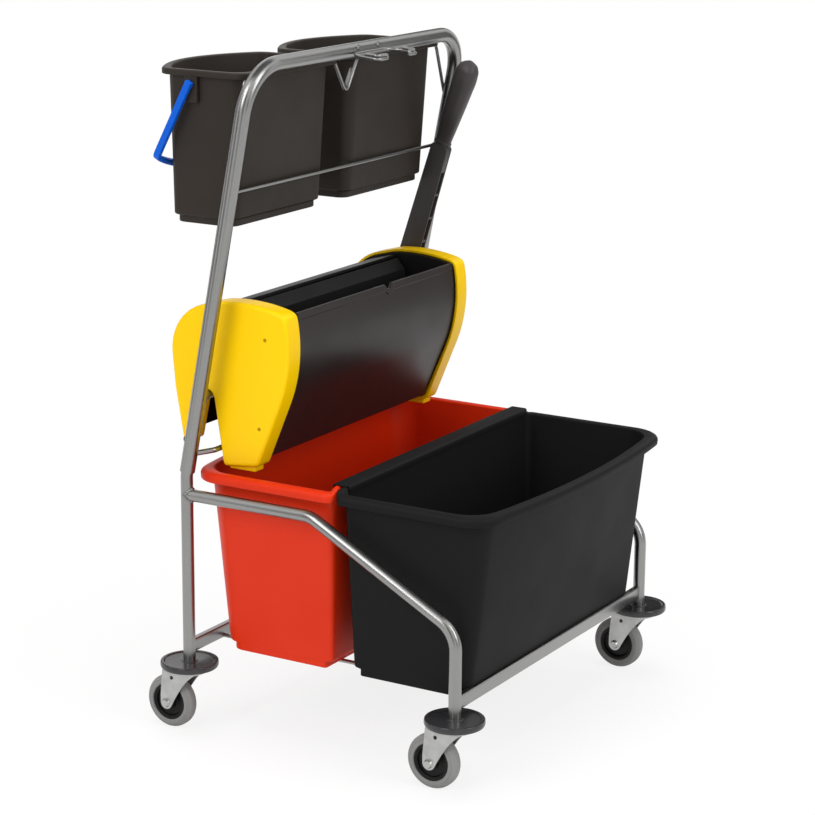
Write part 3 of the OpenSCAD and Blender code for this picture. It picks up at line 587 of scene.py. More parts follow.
@dataclass(frozen=True)
class Finish:
    """A surface finish: what it is made of and how it was made."""

    name: str
    colour: str
    shade: str
    roughness: float

    def material(self) -> bpy.types.Material:
        """Returns the finish's material, made once."""
        return bpy.data.materials.get(self.name) or self.make()

    def make(self) -> bpy.types.Material:
        """Builds the material.

        Returns:
            A new material with its nodes.
        """
        made = bpy.data.materials.new(self.name)
        made.use_nodes = True
        tree = made.node_tree
        tree.nodes.clear()
        shader = add_node(tree, "ShaderNodeBsdfPrincipled")
        add_node(tree, "ShaderNodeOutputMaterial", {"Surface": shader.outputs["BSDF"]})
        self.shade_nodes(tree, shader)
        return made

    def shade_nodes(self, tree: bpy.types.NodeTree, shader: bpy.types.Node) -> None:
        """Adds the nodes that feed the shader.

        Args:
            tree: Node tree of the material.
            shader: Its shader node.
        """
        raise NotImplementedError

    def mottle(self, tree: bpy.types.NodeTree, shader: bpy.types.Node, where: bpy.types.NodeSocket,
               scale: float, spread: float) -> None:
        """Varies colour and roughness with one soft noise.

        Args:
            tree: Node tree.
            shader: Shader to feed.
            where: Coordinate of the pattern.
            scale: Scale of the noise.
            spread: Change of roughness either way.
        """
        noise = add_node(tree, "ShaderNodeTexNoise", {
            "Vector": where, "Scale": scale, "Detail": SOFT_OCTAVES})
        mix = add_node(tree, "ShaderNodeMix", {"Factor": noise.outputs["Fac"], "A": linear(self.colour),
                                               "B": linear(self.shade)}, data_type="RGBA")
        span = add_node(tree, "ShaderNodeMapRange", {
            "Value": noise.outputs["Fac"], "From Min": NOISE_SPAN[0], "From Max": NOISE_SPAN[1],
            "To Min": self.roughness - spread, "To Max": self.roughness + spread})
        tree.links.new(mix.outputs[2], shader.inputs["Base Color"])
        tree.links.new(span.outputs["Result"], shader.inputs["Roughness"])

    def bump(self, tree: bpy.types.NodeTree, shader: bpy.types.Node, where: bpy.types.NodeSocket,
             scale: float, depth: float) -> None:
        """Adds a fine relief.

        Args:
            tree: Node tree.
            shader: Shader to feed.
            where: Coordinate of the relief.
            scale: Scale of the noise.
            depth: Height of the relief in millimetres.
        """
        noise = add_node(tree, "ShaderNodeTexNoise", {
            "Vector": where, "Scale": scale, "Detail": FINE_OCTAVES})
        bump = add_node(tree, "ShaderNodeBump", {"Height": noise.outputs["Fac"], "Distance": depth * MM,
                                                 "Strength": 1.0})
        tree.links.new(bump.outputs["Normal"], shader.inputs["Normal"])


@dataclass(frozen=True)
class Moulded(Finish):
    """Injection-moulded plastic: even colour with faint flow mottling and a fine spark-eroded grain."""

    # The real grain is a few tenths of a millimetre wide and is drawn coarser, so that it shows
    grain_mm: float = 1.6
    grain_depth: float = 0.02
    flow_mm: float = 70.0
    spread: float = 0.05
    specular: float = 0.5
    ior: float = 1.49

    def shade_nodes(self, tree: bpy.types.NodeTree, shader: bpy.types.Node) -> None:
        """Mottles the colour and lays the mould's grain over it.

        Args:
            tree: Node tree of the material.
            shader: Its shader node.
        """
        where = add_node(tree, "ShaderNodeTexCoord").outputs["Object"]
        self.mottle(tree, shader, where, per_mm(self.flow_mm), self.spread)
        self.bump(tree, shader, where, per_mm(self.grain_mm), self.grain_depth)
        shader.inputs["IOR"].default_value = self.ior
        shader.inputs["Specular IOR Level"].default_value = self.specular


@dataclass(frozen=True)
class DrawnSteel(Finish):
    """Satin stainless tube or wire: polished along its length, so fine streaks follow it."""

    # Real polishing lines are about a tenth of a millimetre wide and are drawn coarser, so that they show
    streak_mm: float = 1.2
    streak_length_mm: float = 90.0
    streak_depth: float = 0.0015
    spread: float = 0.07

    def shade_nodes(self, tree: bpy.types.NodeTree, shader: bpy.types.Node) -> None:
        """Stretches the noise along the piece by its lay coordinate.

        Args:
            tree: Node tree of the material.
            shader: Its shader node.
        """
        lay = add_node(tree, "ShaderNodeAttribute", attribute_name="lay")
        stretch = self.streak_mm / self.streak_length_mm
        where = add_node(tree, "ShaderNodeMapping", {
            "Vector": lay.outputs["Vector"], "Scale": (stretch, 1, 1)}).outputs["Vector"]
        self.mottle(tree, shader, where, per_mm(self.streak_mm), self.spread)
        self.bump(tree, shader, where, per_mm(self.streak_mm), self.streak_depth)
        shader.inputs["Metallic"].default_value = 1.0


@dataclass(frozen=True)
class PlatedSteel(Finish):
    """Plated or passivated steel: cloudy metal with small crystals."""

    cloud_mm: float = 14.0
    # Real crystals are a few tenths of a millimetre wide and are drawn coarser, so that they show
    crystal_mm: float = 1.5
    crystal_depth: float = 0.01
    spread: float = 0.08

    def shade_nodes(self, tree: bpy.types.NodeTree, shader: bpy.types.Node) -> None:
        """Clouds the metal and roughens it a little.

        Args:
            tree: Node tree of the material.
            shader: Its shader node.
        """
        where = add_node(tree, "ShaderNodeTexCoord").outputs["Object"]
        self.mottle(tree, shader, where, per_mm(self.cloud_mm), self.spread)
        self.bump(tree, shader, where, per_mm(self.crystal_mm), self.crystal_depth)
        shader.inputs["Metallic"].default_value = 1.0


# Satin tube: mid grey with soft streaks along it
SATIN = DrawnSteel("satin_stainless_tube", "#9E9E9D", "#939291", 0.29, spread=0.025)
# Zinc: lighter and cloudier than the tubes
ZINC = PlatedSteel("bright_zinc_plate", "#C4C5C3", "#A6A7A5", 0.36)
# Plain steel: rivets, welds and bolts
FIXING = PlatedSteel("plain_steel_fixing", "#A2A3A4", "#828384", 0.3)
# Cap screws: steel coloured brownish yellow as a painted reflection of the yellow caps, hardly darker than
# the caps
SCREW_PAINTED_CAP_REFLECTION = PlatedSteel("steel_painted_with_cap_reflection", "#C89E14", "#B48C10", 0.4)
# Red tub: warm orange red with a soft sheen
RED = Moulded("red_polypropylene", "#DA3006", "#D22A04", 0.42, specular=0.2)
# Black tub: neutral black that stays dark where it faces the light
BLACK = Moulded("black_polypropylene", "#1A191A", "#181718", 0.58, spread=0.02, specular=0.1)
# Small pails: brownish black, a little lighter than the tub
PAIL = Moulded("dark_brown_polypropylene", "#322C27", "#2D2823", 0.48, specular=0.16)
# End caps: clear warm yellow with a gloss
YELLOW = Moulded("yellow_abs", "#FDCE02", "#F9C800", 0.36, grain_depth=0.008, specular=0.15)
# Front panel: glossy black that mirrors its surroundings softly
PANEL = Moulded("black_glossy_abs", "#292221", "#251F1E", 0.34, grain_depth=0.004, specular=0.31)
# Inside of the press: nearly black
INNER = Moulded("black_abs", "#1A191A", "#151515", 0.45, specular=0.15)
# Bails: saturated blue
BLUE = Moulded("blue_polypropylene", "#005ED4", "#0054C4", 0.4, specular=0.2)
# Lever: warm dark grey with a coarse grain
NYLON = Moulded("dark_glass_filled_nylon", "#454041", "#3D393A", 0.4, grain_mm=2.2, specular=0.3)
# Tyres: matt neutral grey
TYRE = Moulded("grey_thermoplastic_rubber", "#8D8D8C", "#838382", 0.6, grain_mm=2.5, grain_depth=0.03,
               specular=0.2)
# Bumpers: dark grey, smooth enough to mirror the leg above
BUMPER = Moulded("dark_grey_polymer", "#333234", "#2D2C2E", 0.22, grain_mm=2.0, grain_depth=0.006)
# Hubs: black
HUB = Moulded("black_hub_polypropylene", "#121212", "#0E0E0E", 0.45, specular=0.22)
# Shaft bushes: milky white
ACETAL = Moulded("natural_acetal", "#E8E4D8", "#DEDACC", 0.4)


# Sub-assemblies


@dataclass
class Datum:
    """Planes and lines that several sub-assemblies share, read from the frame."""

    tube_d: float = 18.0
    hoop_d: float = 22.0
    hoop_lean: float = 11.0

    def __post_init__(self) -> None:
        """Reads the castor stems, the push bar and the press axis."""
        stem = JOINT_POS["swivel_rear_right"]
        self.half_track, self.rear_y = float(stem[0]), float(stem[1])
        self.front_y = float(JOINT_POS["swivel_front_right"][1])
        low, high = box_mm("handle_hoop")
        self.bar_y, self.bar_z = low[1] + self.hoop_d / 2, high[2] - self.hoop_d / 2
        self.shaft = JOINT_POS["lever_pull"]

    def post_y(self, z: float) -> float:
        """Depth of the leaning handle posts at height z."""
        return self.bar_y + (self.bar_z - z) * math.tan(math.radians(self.hoop_lean))


@dataclass
class Chassis:
    """Bent tube side frames, cross bars, base wires and bumper discs."""

    datum: Datum
    knee: float = 212.0
    low_bend_z: float = 233.0
    rail_bend: float = 46.0
    leg_bend: float = 40.0
    plug: float = 62.0
    lean_rise: float = 29.0
    bar_edge: float = 2.0
    weld_d: float = 4.0
    weld_out: tuple[float, float] = (1.02, 1.01)
    weld_ripple: float = 0.12
    weld_beads: int = 16
    weld_steps: int = 96
    wire_places: tuple[float, ...] = (-1.0, -0.33, 0.33, 1.0)
    wire_run: float = 1.0
    seat: float = 1.0
    disc_bore: float = 6.0
    disc_boss: float = 12.0
    disc_rim: float = 5.0
    disc_dish: float = 1.8
    disc_bends: tuple[float, ...] = (0.5, 2.5, 2.0, 1.6, 1.0, 1.0, 0.8, 0.4, 0.3)
    disc_steps: int = 96

    def __post_init__(self) -> None:
        """Reads the heights of the rails and legs."""
        self.leg_end = box_mm("bumpers")[1][2] - self.seat
        self.rail_z = box_mm("side_rail_left")[1][2] - self.datum.tube_d / 2

    def rail(self, x: float) -> Shell:
        """Front leg, sloping rail and level rail of one side.

        Args:
            x: Side plane of the tube.

        Returns:
            The bent tube.
        """
        d = self.datum
        corners = [(x, d.front_y, self.leg_end), (x, d.front_y, self.low_bend_z),
                   (x, d.rear_y - self.knee, self.rail_z), (x, d.rear_y, self.rail_z)]
        line = bent_line(corners, [self.rail_bend] * 2)
        return sweep(line, circle(d.tube_d, TUBE_EDGES), (1, 0, 0))

    def leg(self, x: float) -> Shell:
        """Rear leg of one side, bent forward where it plugs into the push handle.

        Args:
            x: Side plane of the tube.

        Returns:
            The bent tube.
        """
        d = self.datum
        lean_z = self.rail_z + self.lean_rise
        top = lean_z + self.plug
        line = bent_line([(x, d.rear_y, self.leg_end), (x, d.rear_y, lean_z), (x, d.post_y(top), top)],
                         [self.leg_bend])
        return sweep(line, circle(d.tube_d, TUBE_EDGES), (1, 0, 0))

    def rail_weld(self, x: float) -> Shell:
        """Bead where the level rail meets the rear leg.

        The bead follows x = r cos a, z = r sin a on the rail, with y on the face of the leg,
        rear_y - sqrt(r r - x x), a little proud of both, and its thickness ripples.

        Args:
            x: Side plane of the tubes.

        Returns:
            The bead.
        """
        d = self.datum
        a = np.linspace(0, 2 * math.pi, self.weld_steps, endpoint=False)
        r = d.tube_d / 2
        across = r * np.cos(a)
        ring, face = self.weld_out
        line = np.stack([x + across * ring, d.rear_y - np.sqrt(np.maximum(r * r - across ** 2, 0)) * face,
                         self.rail_z + r * np.sin(a) * ring], axis=1)
        size = 1 + self.weld_ripple * np.sin(self.weld_beads * a)
        return sweep(line, circle(self.weld_d, BEAD_EDGES), (0, 1, 0.01), size, closed=True)

    def cross_bar(self, node: str) -> Shell:
        """Flat rectangular tube between two legs.

        Args:
            node: Frame node of the bar.

        Returns:
            The bar, run into the legs at both ends.
        """
        low, high = box_mm(node)
        return block(low, high, self.bar_edge)

    def base_wires(self) -> Shell:
        """Wires that the tubs stand on, from one cross bar to the other.

        Returns:
            All wires as one shell.
        """
        low, high = box_mm("base_wires")
        d = high[2] - low[2]
        half = high[0] - d / 2
        z = (low[2] + high[2]) / 2
        front, rear = low[1] - self.wire_run, high[1] + self.wire_run
        rods = [wire([(k * half, front, z), (k * half, rear, z)], [], d, (0, 0, 1)) for k in self.wire_places]
        return Shell.join(rods)

    def bumper(self, x: float, y: float) -> Shell:
        """Bumper disc with a raised rim round a shallow dished top.

        Args:
            x: Stem axis.
            y: Stem axis.

        Returns:
            The disc.
        """
        low, high = box_mm("bumpers")
        r = (high[0] - low[0]) / 2 - self.datum.half_track
        t = high[2] - low[2]
        bore, boss, rim, dish = self.disc_bore, self.disc_boss, r - self.disc_rim, t - self.disc_dish
        corners = [(bore, 0), (r - 1, 0), (r, t * 0.45), (r - 0.6, t), (rim, t), (rim - 2, dish + 0.2),
                   (boss, dish), (boss - 1, t - 0.6), (bore, t - 0.6)]
        return turned(bent_loop(corners, self.disc_bends), (x, y, low[2]), Axis.Z, True, self.disc_steps)

    def build(self) -> None:
        """Makes every piece of the chassis."""
        for side, s in SIDES.items():
            x = s * self.datum.half_track
            add_piece(f"rail_tube_{side}", self.rail(x), SATIN, Body.CHASSIS, [f"side_rail_{side}"])
            add_piece(f"leg_tube_{side}", self.leg(x), SATIN, Body.CHASSIS, [f"rear_leg_{side}"])
            add_piece(f"rail_weld_{side}", self.rail_weld(x), FIXING, Body.CHASSIS)
        for node in ("front_cross_bar", "rear_cross_bar"):
            add_piece(f"{node}_tube", self.cross_bar(node), SATIN, Body.CHASSIS, [node])
        add_piece("base_wire_set", self.base_wires(), SATIN, Body.CHASSIS, ["base_wires"])
        discs = [self.bumper(i * self.datum.half_track, self.datum.rear_y if j > 0 else self.datum.front_y)
                 for i, j in CORNERS.values()]
        add_piece("bumper_discs", Shell.join(discs), BUMPER, Body.CHASSIS, ["bumpers"])
        dress(ZINC, ["castor_stems"])


@dataclass
class PushHandle:
    """Handle hoop with the pail rail, the stop wire, the mop clip and the rods that carry the press."""

    datum: Datum
    corner: float = 65.0
    corner_steps: int = 24
    hoop_run: float = 2.0
    wire_d: float = 5.0
    rail_stand: float = 14.0
    rail_post: float = 9.0
    rail_foot: float = 2.0
    rail_inset: float = 4.0
    rail_under: float = 11.0
    rail_bends: tuple[float, ...] = (14.0, 9.0, 8.0, 9.0, 14.0)
    hook_half: float = 32.0
    hook_drop: float = 50.0
    strand: tuple[float, float] = (0.22, 0.68)
    clip_half: float = 54.0
    clip_reach: float = 48.0
    clip_tip: float = 23.0
    clip_drop: float = 3.0
    clip_sag: float = 4.0
    clip_bends: tuple[float, ...] = (8.0, 20.0, 20.0, 8.0)
    back_in: float = 3.0
    back_run: float = 22.0
    back_bends: tuple[float, ...] = (2.4, 6.0)
    rod_run: float = 2.0
    hanger_d: float = 14.0
    hanger_drop: float = 36.0
    hanger_inset: float = 30.0
    hanger_bend: float = 16.0
    stop_d: float = 8.0
    stop_run: float = 3.0
    stop_inset: float = 26.0
    stop_bend: float = 10.0

    def hoop(self) -> Shell:
        """Thick tube from one leg over the push bar to the other leg.

        Returns:
            The bent tube.
        """
        d = self.datum
        end = box_mm("handle_hoop")[0][2] + self.hoop_run
        x = d.half_track
        corners = [(-x, d.post_y(end), end), (-x, d.bar_y, d.bar_z), (x, d.bar_y, d.bar_z),
                   (x, d.post_y(end), end)]
        normal = (0, math.cos(math.radians(d.hoop_lean)), math.sin(math.radians(d.hoop_lean)))
        line = bent_line(corners, [self.corner] * 2, self.corner_steps)
        return sweep(line, circle(d.hoop_d, HOOP_EDGES), normal)

    def pail_rail(self) -> Shell:
        """Wire that the pails hang on, with the V-shaped hook in its middle and the short second strand.

        Returns:
            The bent wire and the strand.
        """
        d = self.datum
        low, high = box_mm("bucket_rail_wire")
        w = self.wire_d
        z = high[2] - w / 2
        y = d.bar_y + d.hoop_d / 2 + w / 2 + self.rail_stand
        end_z = low[2] + w / 2 + self.rail_foot
        end_y = d.post_y(end_z) + self.rail_post
        x1 = box_mm("small_bucket_right")[1][0] - self.rail_under
        x0 = d.half_track - self.rail_inset
        h = self.hook_half
        corners = [(-x0, end_y, end_z), (-x1, y, z), (-h, y, z), (0, y, z - self.hook_drop), (h, y, z),
                   (x1, y, z), (x0, end_y, end_z)]
        strand = [(k * h, y + w, z - (1 - k) * self.hook_drop) for k in self.strand]
        return Shell.join([wire(corners, self.rail_bends, w, (0, 1, 0)), wire(strand, [], w, (0, 1, 0))])

    def clip(self) -> Shell:
        """Spring wire clip in front of the push bar: two jaws with tips hooked inwards and doubled back.

        Returns:
            The bent wire.
        """
        d = self.datum
        w = self.wire_d
        y = d.bar_y - d.hoop_d / 2 - w / 2
        z = d.bar_z - self.clip_drop
        tip, low = y - self.clip_reach, z - self.clip_sag
        c, t, back = self.clip_half, self.clip_half - self.clip_tip, self.clip_half - self.back_in
        jaws = wire([(-t, tip, low), (-c, tip, low), (-c, y, z), (c, y, z), (c, tip, low), (t, tip, low)],
                    self.clip_bends, w, (0, 0, 1))
        backs = [wire([(s * t, tip, low), (s * t, tip, low + w), (s * back, tip + self.back_in, low + w),
                       (s * back, tip + self.back_run, low + w + 1)], self.back_bends, w, (1, 1, 0))
                 for s in SIDES.values()]
        return Shell.join([jaws, *backs])

    def bent_rod(self, d: float, mid: tuple[float, float], end: tuple[float, float], inset: float,
                 bend: float, up: Sequence[float]) -> Shell:
        """Rod between the posts whose ends are bent into them.

        Args:
            d: Diameter.
            mid: Depth and height of its straight middle.
            end: Depth and height of its ends in the posts.
            inset: Distance from the post axis to the corner of the bend.
            bend: Bend radius.
            up: Direction square to most of the rod.

        Returns:
            The bent rod.
        """
        x, x1 = self.datum.half_track - self.rod_run, self.datum.half_track - inset
        corners = [(-x, *end), (-x1, *mid), (x1, *mid), (x, *end)]
        return sweep(bent_line(corners, [bend] * 2), circle(d, ROD_EDGES), up)

    def hanger_rod(self) -> Shell:
        """Thick rod that the press hangs on, with ends bent down into the posts.

        Returns:
            The bent rod.
        """
        high, d = box_mm("press_hanger_rod")[1], self.hanger_d
        y, z = high[1] - d / 2, high[2] - d / 2
        end = (y, z - self.hanger_drop)
        return self.bent_rod(d, (y, z), end, self.hanger_inset, self.hanger_bend, (0, 1, 0))

    def stop_rod(self) -> Shell:
        """Thin rod that the press leans on, with ends bent back into the posts.

        Returns:
            The bent rod.
        """
        (low, high), d = box_mm("press_stop_rod"), self.stop_d
        y, z = low[1] + d / 2, high[2] - d / 2
        end = (self.datum.post_y(z) - self.stop_run, z - self.stop_run)
        return self.bent_rod(d, (y, z), end, self.stop_inset, self.stop_bend, (0, 0, 1))

    def build(self) -> None:
        """Makes every piece of the push handle."""
        d = self.datum
        add_piece("handle_tube", self.hoop(), SATIN, Body.CHASSIS, ["handle_hoop"])
        add_piece("pail_rail_wire", self.pail_rail(), SATIN, Body.CHASSIS, ["bucket_rail_wire"])
        low, high = box_mm("bucket_stop_wire")
        mid = (low + high) / 2
        ends = [(-d.half_track, mid[1], mid[2]), (d.half_track, mid[1], mid[2])]
        add_piece("pail_stop_wire", wire(ends, [], self.wire_d, (0, 0, 1)), SATIN, Body.CHASSIS,
                  ["bucket_stop_wire"])
        add_piece("mop_clip_wire", self.clip(), SATIN, Body.CHASSIS, ["mop_clip"])
        add_piece("hanger_rod", self.hanger_rod(), SATIN, Body.CHASSIS, ["press_hanger_rod"])
        add_piece("stop_rod", self.stop_rod(), SATIN, Body.CHASSIS, ["press_stop_rod"])
        dress(FIXING, ["hoop_rivets"])


@dataclass
class Castor:
    """Swivel castor: pressed fork, black hub and grey tyre."""

    place: str
    wheel_d: float = 80.0
    wheel_w: float = 22.0
    hub_d: float = 55.0
    sheet: float = 2.5
    sheet_edge: float = 0.8
    head: float = 27.0
    boss: float = 10.0
    gap: float = 28.0
    hole: tuple[float, float, float] = (21.5, 81.0, 3.0)
    race: float = 6.0
    race_bore: float = 6.2
    race_bends: tuple[float, ...] = (0.2, 0.8, 1.2, 0.6, 1.0, 0.2)
    crown_t: float = 3.0
    crown_run: tuple[float, float] = (6.0, 5.5)
    crown_edge: float = 1.2
    tab: tuple[float, float] = (8.0, 1.0)
    back: tuple[float, float] = (6.0, 12.0)
    foot_turn: float = 148.0
    hollow_start: tuple[float, float] = (0.85, 0.53)
    hollow_pull: tuple[float, float] = (0.02, 12.0)
    curve_points: int = 24
    outline_points: int = 240
    outline_soft: float = 2.5
    tyre_bends: tuple[float, ...] = (0.4, 0.6, 0.4, 0.4, 0.5, 5.0)
    tyre_steps: int = 120
    hub_bore: float = 4.06
    hub_boss: float = 10.0
    hub_inset: float = 1.5
    hub_bends: tuple[float, ...] = (0.3, 1.0, 2.0, 2.0, 0.8, 0.5, 0.5, 0.3)
    hub_steps: int = 96

    def __post_init__(self) -> None:
        """Reads the stem and axle axes."""
        self.stem = JOINT_POS[f"swivel_{self.place}"]
        self.axle = JOINT_POS[f"roll_{self.place}"]
        self.trail = float(self.axle[1] - self.stem[1])
        self.crown_z = box_mm(f"fork_{self.place}")[1][2] - self.race

    def leg_outline(self) -> Array:
        """Side outline of a fork leg: round the axle, straight at the back, hollow towards the front tab.

        The hollow is (1 - t)^2 low + 2 t (1 - t) pull + t^2 tip.

        Returns:
            Outline in y and z about the stem axis on the floor.
        """
        axle_z = float(self.axle[2])
        b = self.boss
        top = self.crown_z + self.crown_t
        tip = np.array([-self.head + self.tab[0], self.crown_z - self.tab[1]])
        low = np.array([self.trail - self.hollow_start[0] * b, axle_z - self.hollow_start[1] * b])
        t = np.linspace(0, 1, self.curve_points)[1:-1, None]
        pull = np.array([self.hollow_pull[0] * self.trail, self.crown_z - self.hollow_pull[1]])
        hollow = (1 - t) ** 2 * low + 2 * t * (1 - t) * pull + t ** 2 * tip
        foot = arc((self.trail, axle_z), b, 0, -self.foot_turn, self.curve_points)
        edge = np.vstack([[(self.trail + self.back[0], top), (self.trail + b, axle_z + self.back[1])], foot,
                          hollow, [tip, (tip[0] - 1, top)]])
        return soften(resample(edge, self.outline_points, True), self.outline_soft)

    def fork(self) -> Shell:
        """Two legs, the crown over them and the swivel races.

        Returns:
            The pressed fork.
        """
        half = self.gap / 2 + self.sheet
        shift = (self.stem[0], self.stem[1], 0)
        outline = self.leg_outline()
        legs = [plate(outline, x, x + self.sheet, self.sheet_edge, hole=self.hole)
                for x in (-half, half - self.sheet)]
        front, back = self.crown_run
        crown = block((-half, -front, self.crown_z), (half, self.trail + back, self.crown_z + self.crown_t),
                      self.crown_edge)
        r, bore, top = self.head, self.race_bore, self.race
        cup = [(bore, 0), (r, 0), (r, 3.2), (r - 4, 3.4), (r - 4.5, top), (bore, top)]
        ring = turned(bent_loop(cup, self.race_bends), (0, 0, self.crown_z), Axis.Z, True)
        return Shell.join([s.moved(offset=shift) for s in (*legs, crown, ring)])

    def spun(self, side: Sequence, radii: Sequence[float], steps: int) -> Shell:
        """Ring round the axle that is the same on both sides of the wheel's middle plane.

        Args:
            side: Radius and offset of the corners on one side.
            radii: Bend radius of each corner.
            steps: Points round the axle.

        Returns:
            The ring.
        """
        corners = [*side, *((r, -x) for r, x in reversed(side))]
        return turned(bent_loop(corners, [*radii, *reversed(radii)]), self.axle, Axis.X, True, steps)

    def tyre(self) -> Shell:
        """Tyre with a flat tread, rounded shoulders and a shallow line between tread and side wall.

        Returns:
            The ring.
        """
        r, w, h = self.wheel_d / 2, self.wheel_w / 2, self.hub_d / 2
        side = [(h, 1.5 - w), (h + 1, -w), (r - 7.5, -w), (r - 6.5, 1.0 - w), (r - 5.6, 0.5 - w), (r, 6 - w)]
        return self.spun(side, self.tyre_bends, self.tyre_steps)

    def hub(self) -> Shell:
        """Dished hub with a raised rim and a boss round the axle.

        Returns:
            The turned hub.
        """
        h, w, b = self.hub_d / 2, self.wheel_w / 2 - self.hub_inset, self.hub_boss
        side = [(self.hub_bore, w), (b, w), (b + 0.5, 4.2), (h - 6, 4.0), (h - 5, w - 1.2),
                (h - 3.4, w - 0.8), (h - 3, w), (h, w)]
        return self.spun(side, self.hub_bends, self.hub_steps)

    def build(self) -> None:
        """Makes the pieces of one castor."""
        c = self.place
        add_piece(f"fork_pressing_{c}", self.fork(), ZINC, f"castor_{c}", [f"fork_{c}"])
        add_piece(f"tyre_ring_{c}", self.tyre(), TYRE, f"wheel_{c}", [f"tyre_{c}"])
        add_piece(f"hub_dish_{c}", self.hub(), HUB, f"wheel_{c}", [f"hub_{c}"])
        dress(ZINC, [f"axle_{c}"])


@dataclass
class Vessel:
    """Open vessel with one straight side, one bowed side, tapered walls, a stepped foot and a rolled rim.

    Its own frame has the rim's centre on x = 0, the straight wall at y = flat_y and the bow towards -y.
    """

    half: float
    flat_y: float
    bow_y: float
    height: float
    base_z: float
    bow: float
    bow_low: float
    rim: float
    flat_rim: float
    skirt: float
    wall: float
    foot_in: float
    foot_h: float
    end_taper: float
    flat_taper: float
    bow_taper: float
    flat_r: float
    flat_r_low: float
    bow_r: float
    bow_r_low: float
    lip: float = 0.0
    sheet: float = 3.0
    rim_r: float = 8.0
    corner_growth: float = 1.0
    foot_end: float = 1.0
    floor_in: float = 0.55
    lip_fade: float = 40.0
    lip_run: float = 0.3
    least_r: float = 4.0
    most_r: float = 0.45
    corner_points: int = 14
    side_points: int = 30

    def profile(self) -> tuple[Array, Array, Array]:
        """Wall section from under the foot, over the rim and down to the floor inside.

        Returns:
            Offset from the outer wall, height over the base and share of the lip's rise, point by point.
        """
        h, r, w, t, f = self.height, self.rim, self.wall, self.sheet, self.foot_h
        i, mid, skirt = -self.foot_in, -self.floor_in * self.half, h - self.skirt
        corners = [(mid, 0), (i, 0), (i, f - 0.5), (0, f + 1.5), (0, h - t - 1), (r - t, h - t - 1),
                   (r - t, skirt), (r, skirt), (r, h), (-w, h), (-w, f + w), (i - w, f - 1), (i - w, w),
                   (mid, w)]
        radii = [2.0, 1.2, 3.0, 1.5, 1.5, 0.4, 1.2, self.rim_r, min(3.0, self.rim_r), 3.0, 1.5, 3.0]
        line = bent_line(corners, radii, 7)
        share = np.clip((line[:, 1] - f) / (h - self.lip_fade - f), 0, 1)
        return line[:, 0], line[:, 1], share

    def plan(self, a: Array, yf: Array, yb: Array, rf: Array, rb: Array) -> tuple[Array, Array]:
        """Plan outline of every ring at once: four round corners joined by straight stretches.

        Args:
            a: Half length of each ring.
            yf: Straight side of each ring.
            yb: Bowed side of each ring, before it is bowed.
            rf: Corner radius at the straight side.
            rb: Corner radius at the bowed side.

        Returns:
            The x and y of the outline's points, ring by ring.
        """
        a, yf, yb, rf, rb = (v[:, None] for v in (a, yf, yb, rf, rb))
        q = np.linspace(0, math.pi / 2, self.corner_points)[None]
        c, s = np.cos(q), np.sin(q)
        t = np.linspace(0, 1, self.side_points)[None, 1:-1]
        long = (a - rf) * (1 - 2 * t)
        bowed = (a - rb) * (2 * t - 1)
        x = np.hstack([a - rf + rf * c, long, rf - a - rf * s, rb - a - rb * c, bowed, a - rb + rb * s])
        y = np.hstack([yf - rf + rf * s, yf + 0 * long, yf - rf + rf * c, yb + rb - rb * s, yb + 0 * bowed,
                       yb + rb - rb * c])
        return x, y

    def shell(self) -> Shell:
        """The whole vessel as rings of its plan along its wall section.

        The bow takes s (1 - (x / a)^2) from y, fading to nothing at the straight side, where the lip rises.
        The foot steps in by foot_in, and on the end walls by the share foot_end of it.

        Returns:
            The closed wall.
        """
        d, z, share = self.profile()
        k = 1 - np.clip((z - self.foot_h) / (self.height - self.sheet - self.foot_h), 0, 1)
        flat_d = np.where(d > 0, d * self.flat_rim / self.rim, d)
        inside = np.arange(len(d)) > np.argmax(z)
        step = np.clip((-d - self.wall * inside) / self.foot_in, 0, 1)
        a = self.half - self.end_taper * k + d + self.foot_in * (1 - self.foot_end) * step
        yf = self.flat_y - self.flat_taper * k + flat_d
        yb = self.bow_y + self.bow_taper * k - d
        grow = d * self.corner_growth
        rf = np.maximum(self.least_r, self.flat_r + (self.flat_r_low - self.flat_r) * k + grow)
        rb = np.maximum(self.least_r, self.bow_r + (self.bow_r_low - self.bow_r) * k + grow)
        rf, rb = np.minimum(rf, a * self.most_r), np.minimum(rb, a * self.most_r)
        x, y = self.plan(a, yf, yb, rf, rb)
        bow = (self.bow + (self.bow_low - self.bow) * k)[:, None]
        side = np.clip((yf[:, None] - y) / (yf - yb)[:, None], 0, 1)
        rise = np.clip((y - yf[:, None]) / (self.lip_run * rf[:, None]) + 1, 0, 1)
        y = y - bow * (1 - (x / a[:, None]) ** 2) * side
        height = self.base_z + z[:, None] + self.lip * rise * share[:, None]
        return skin(np.stack([x, y, height], axis=-1))


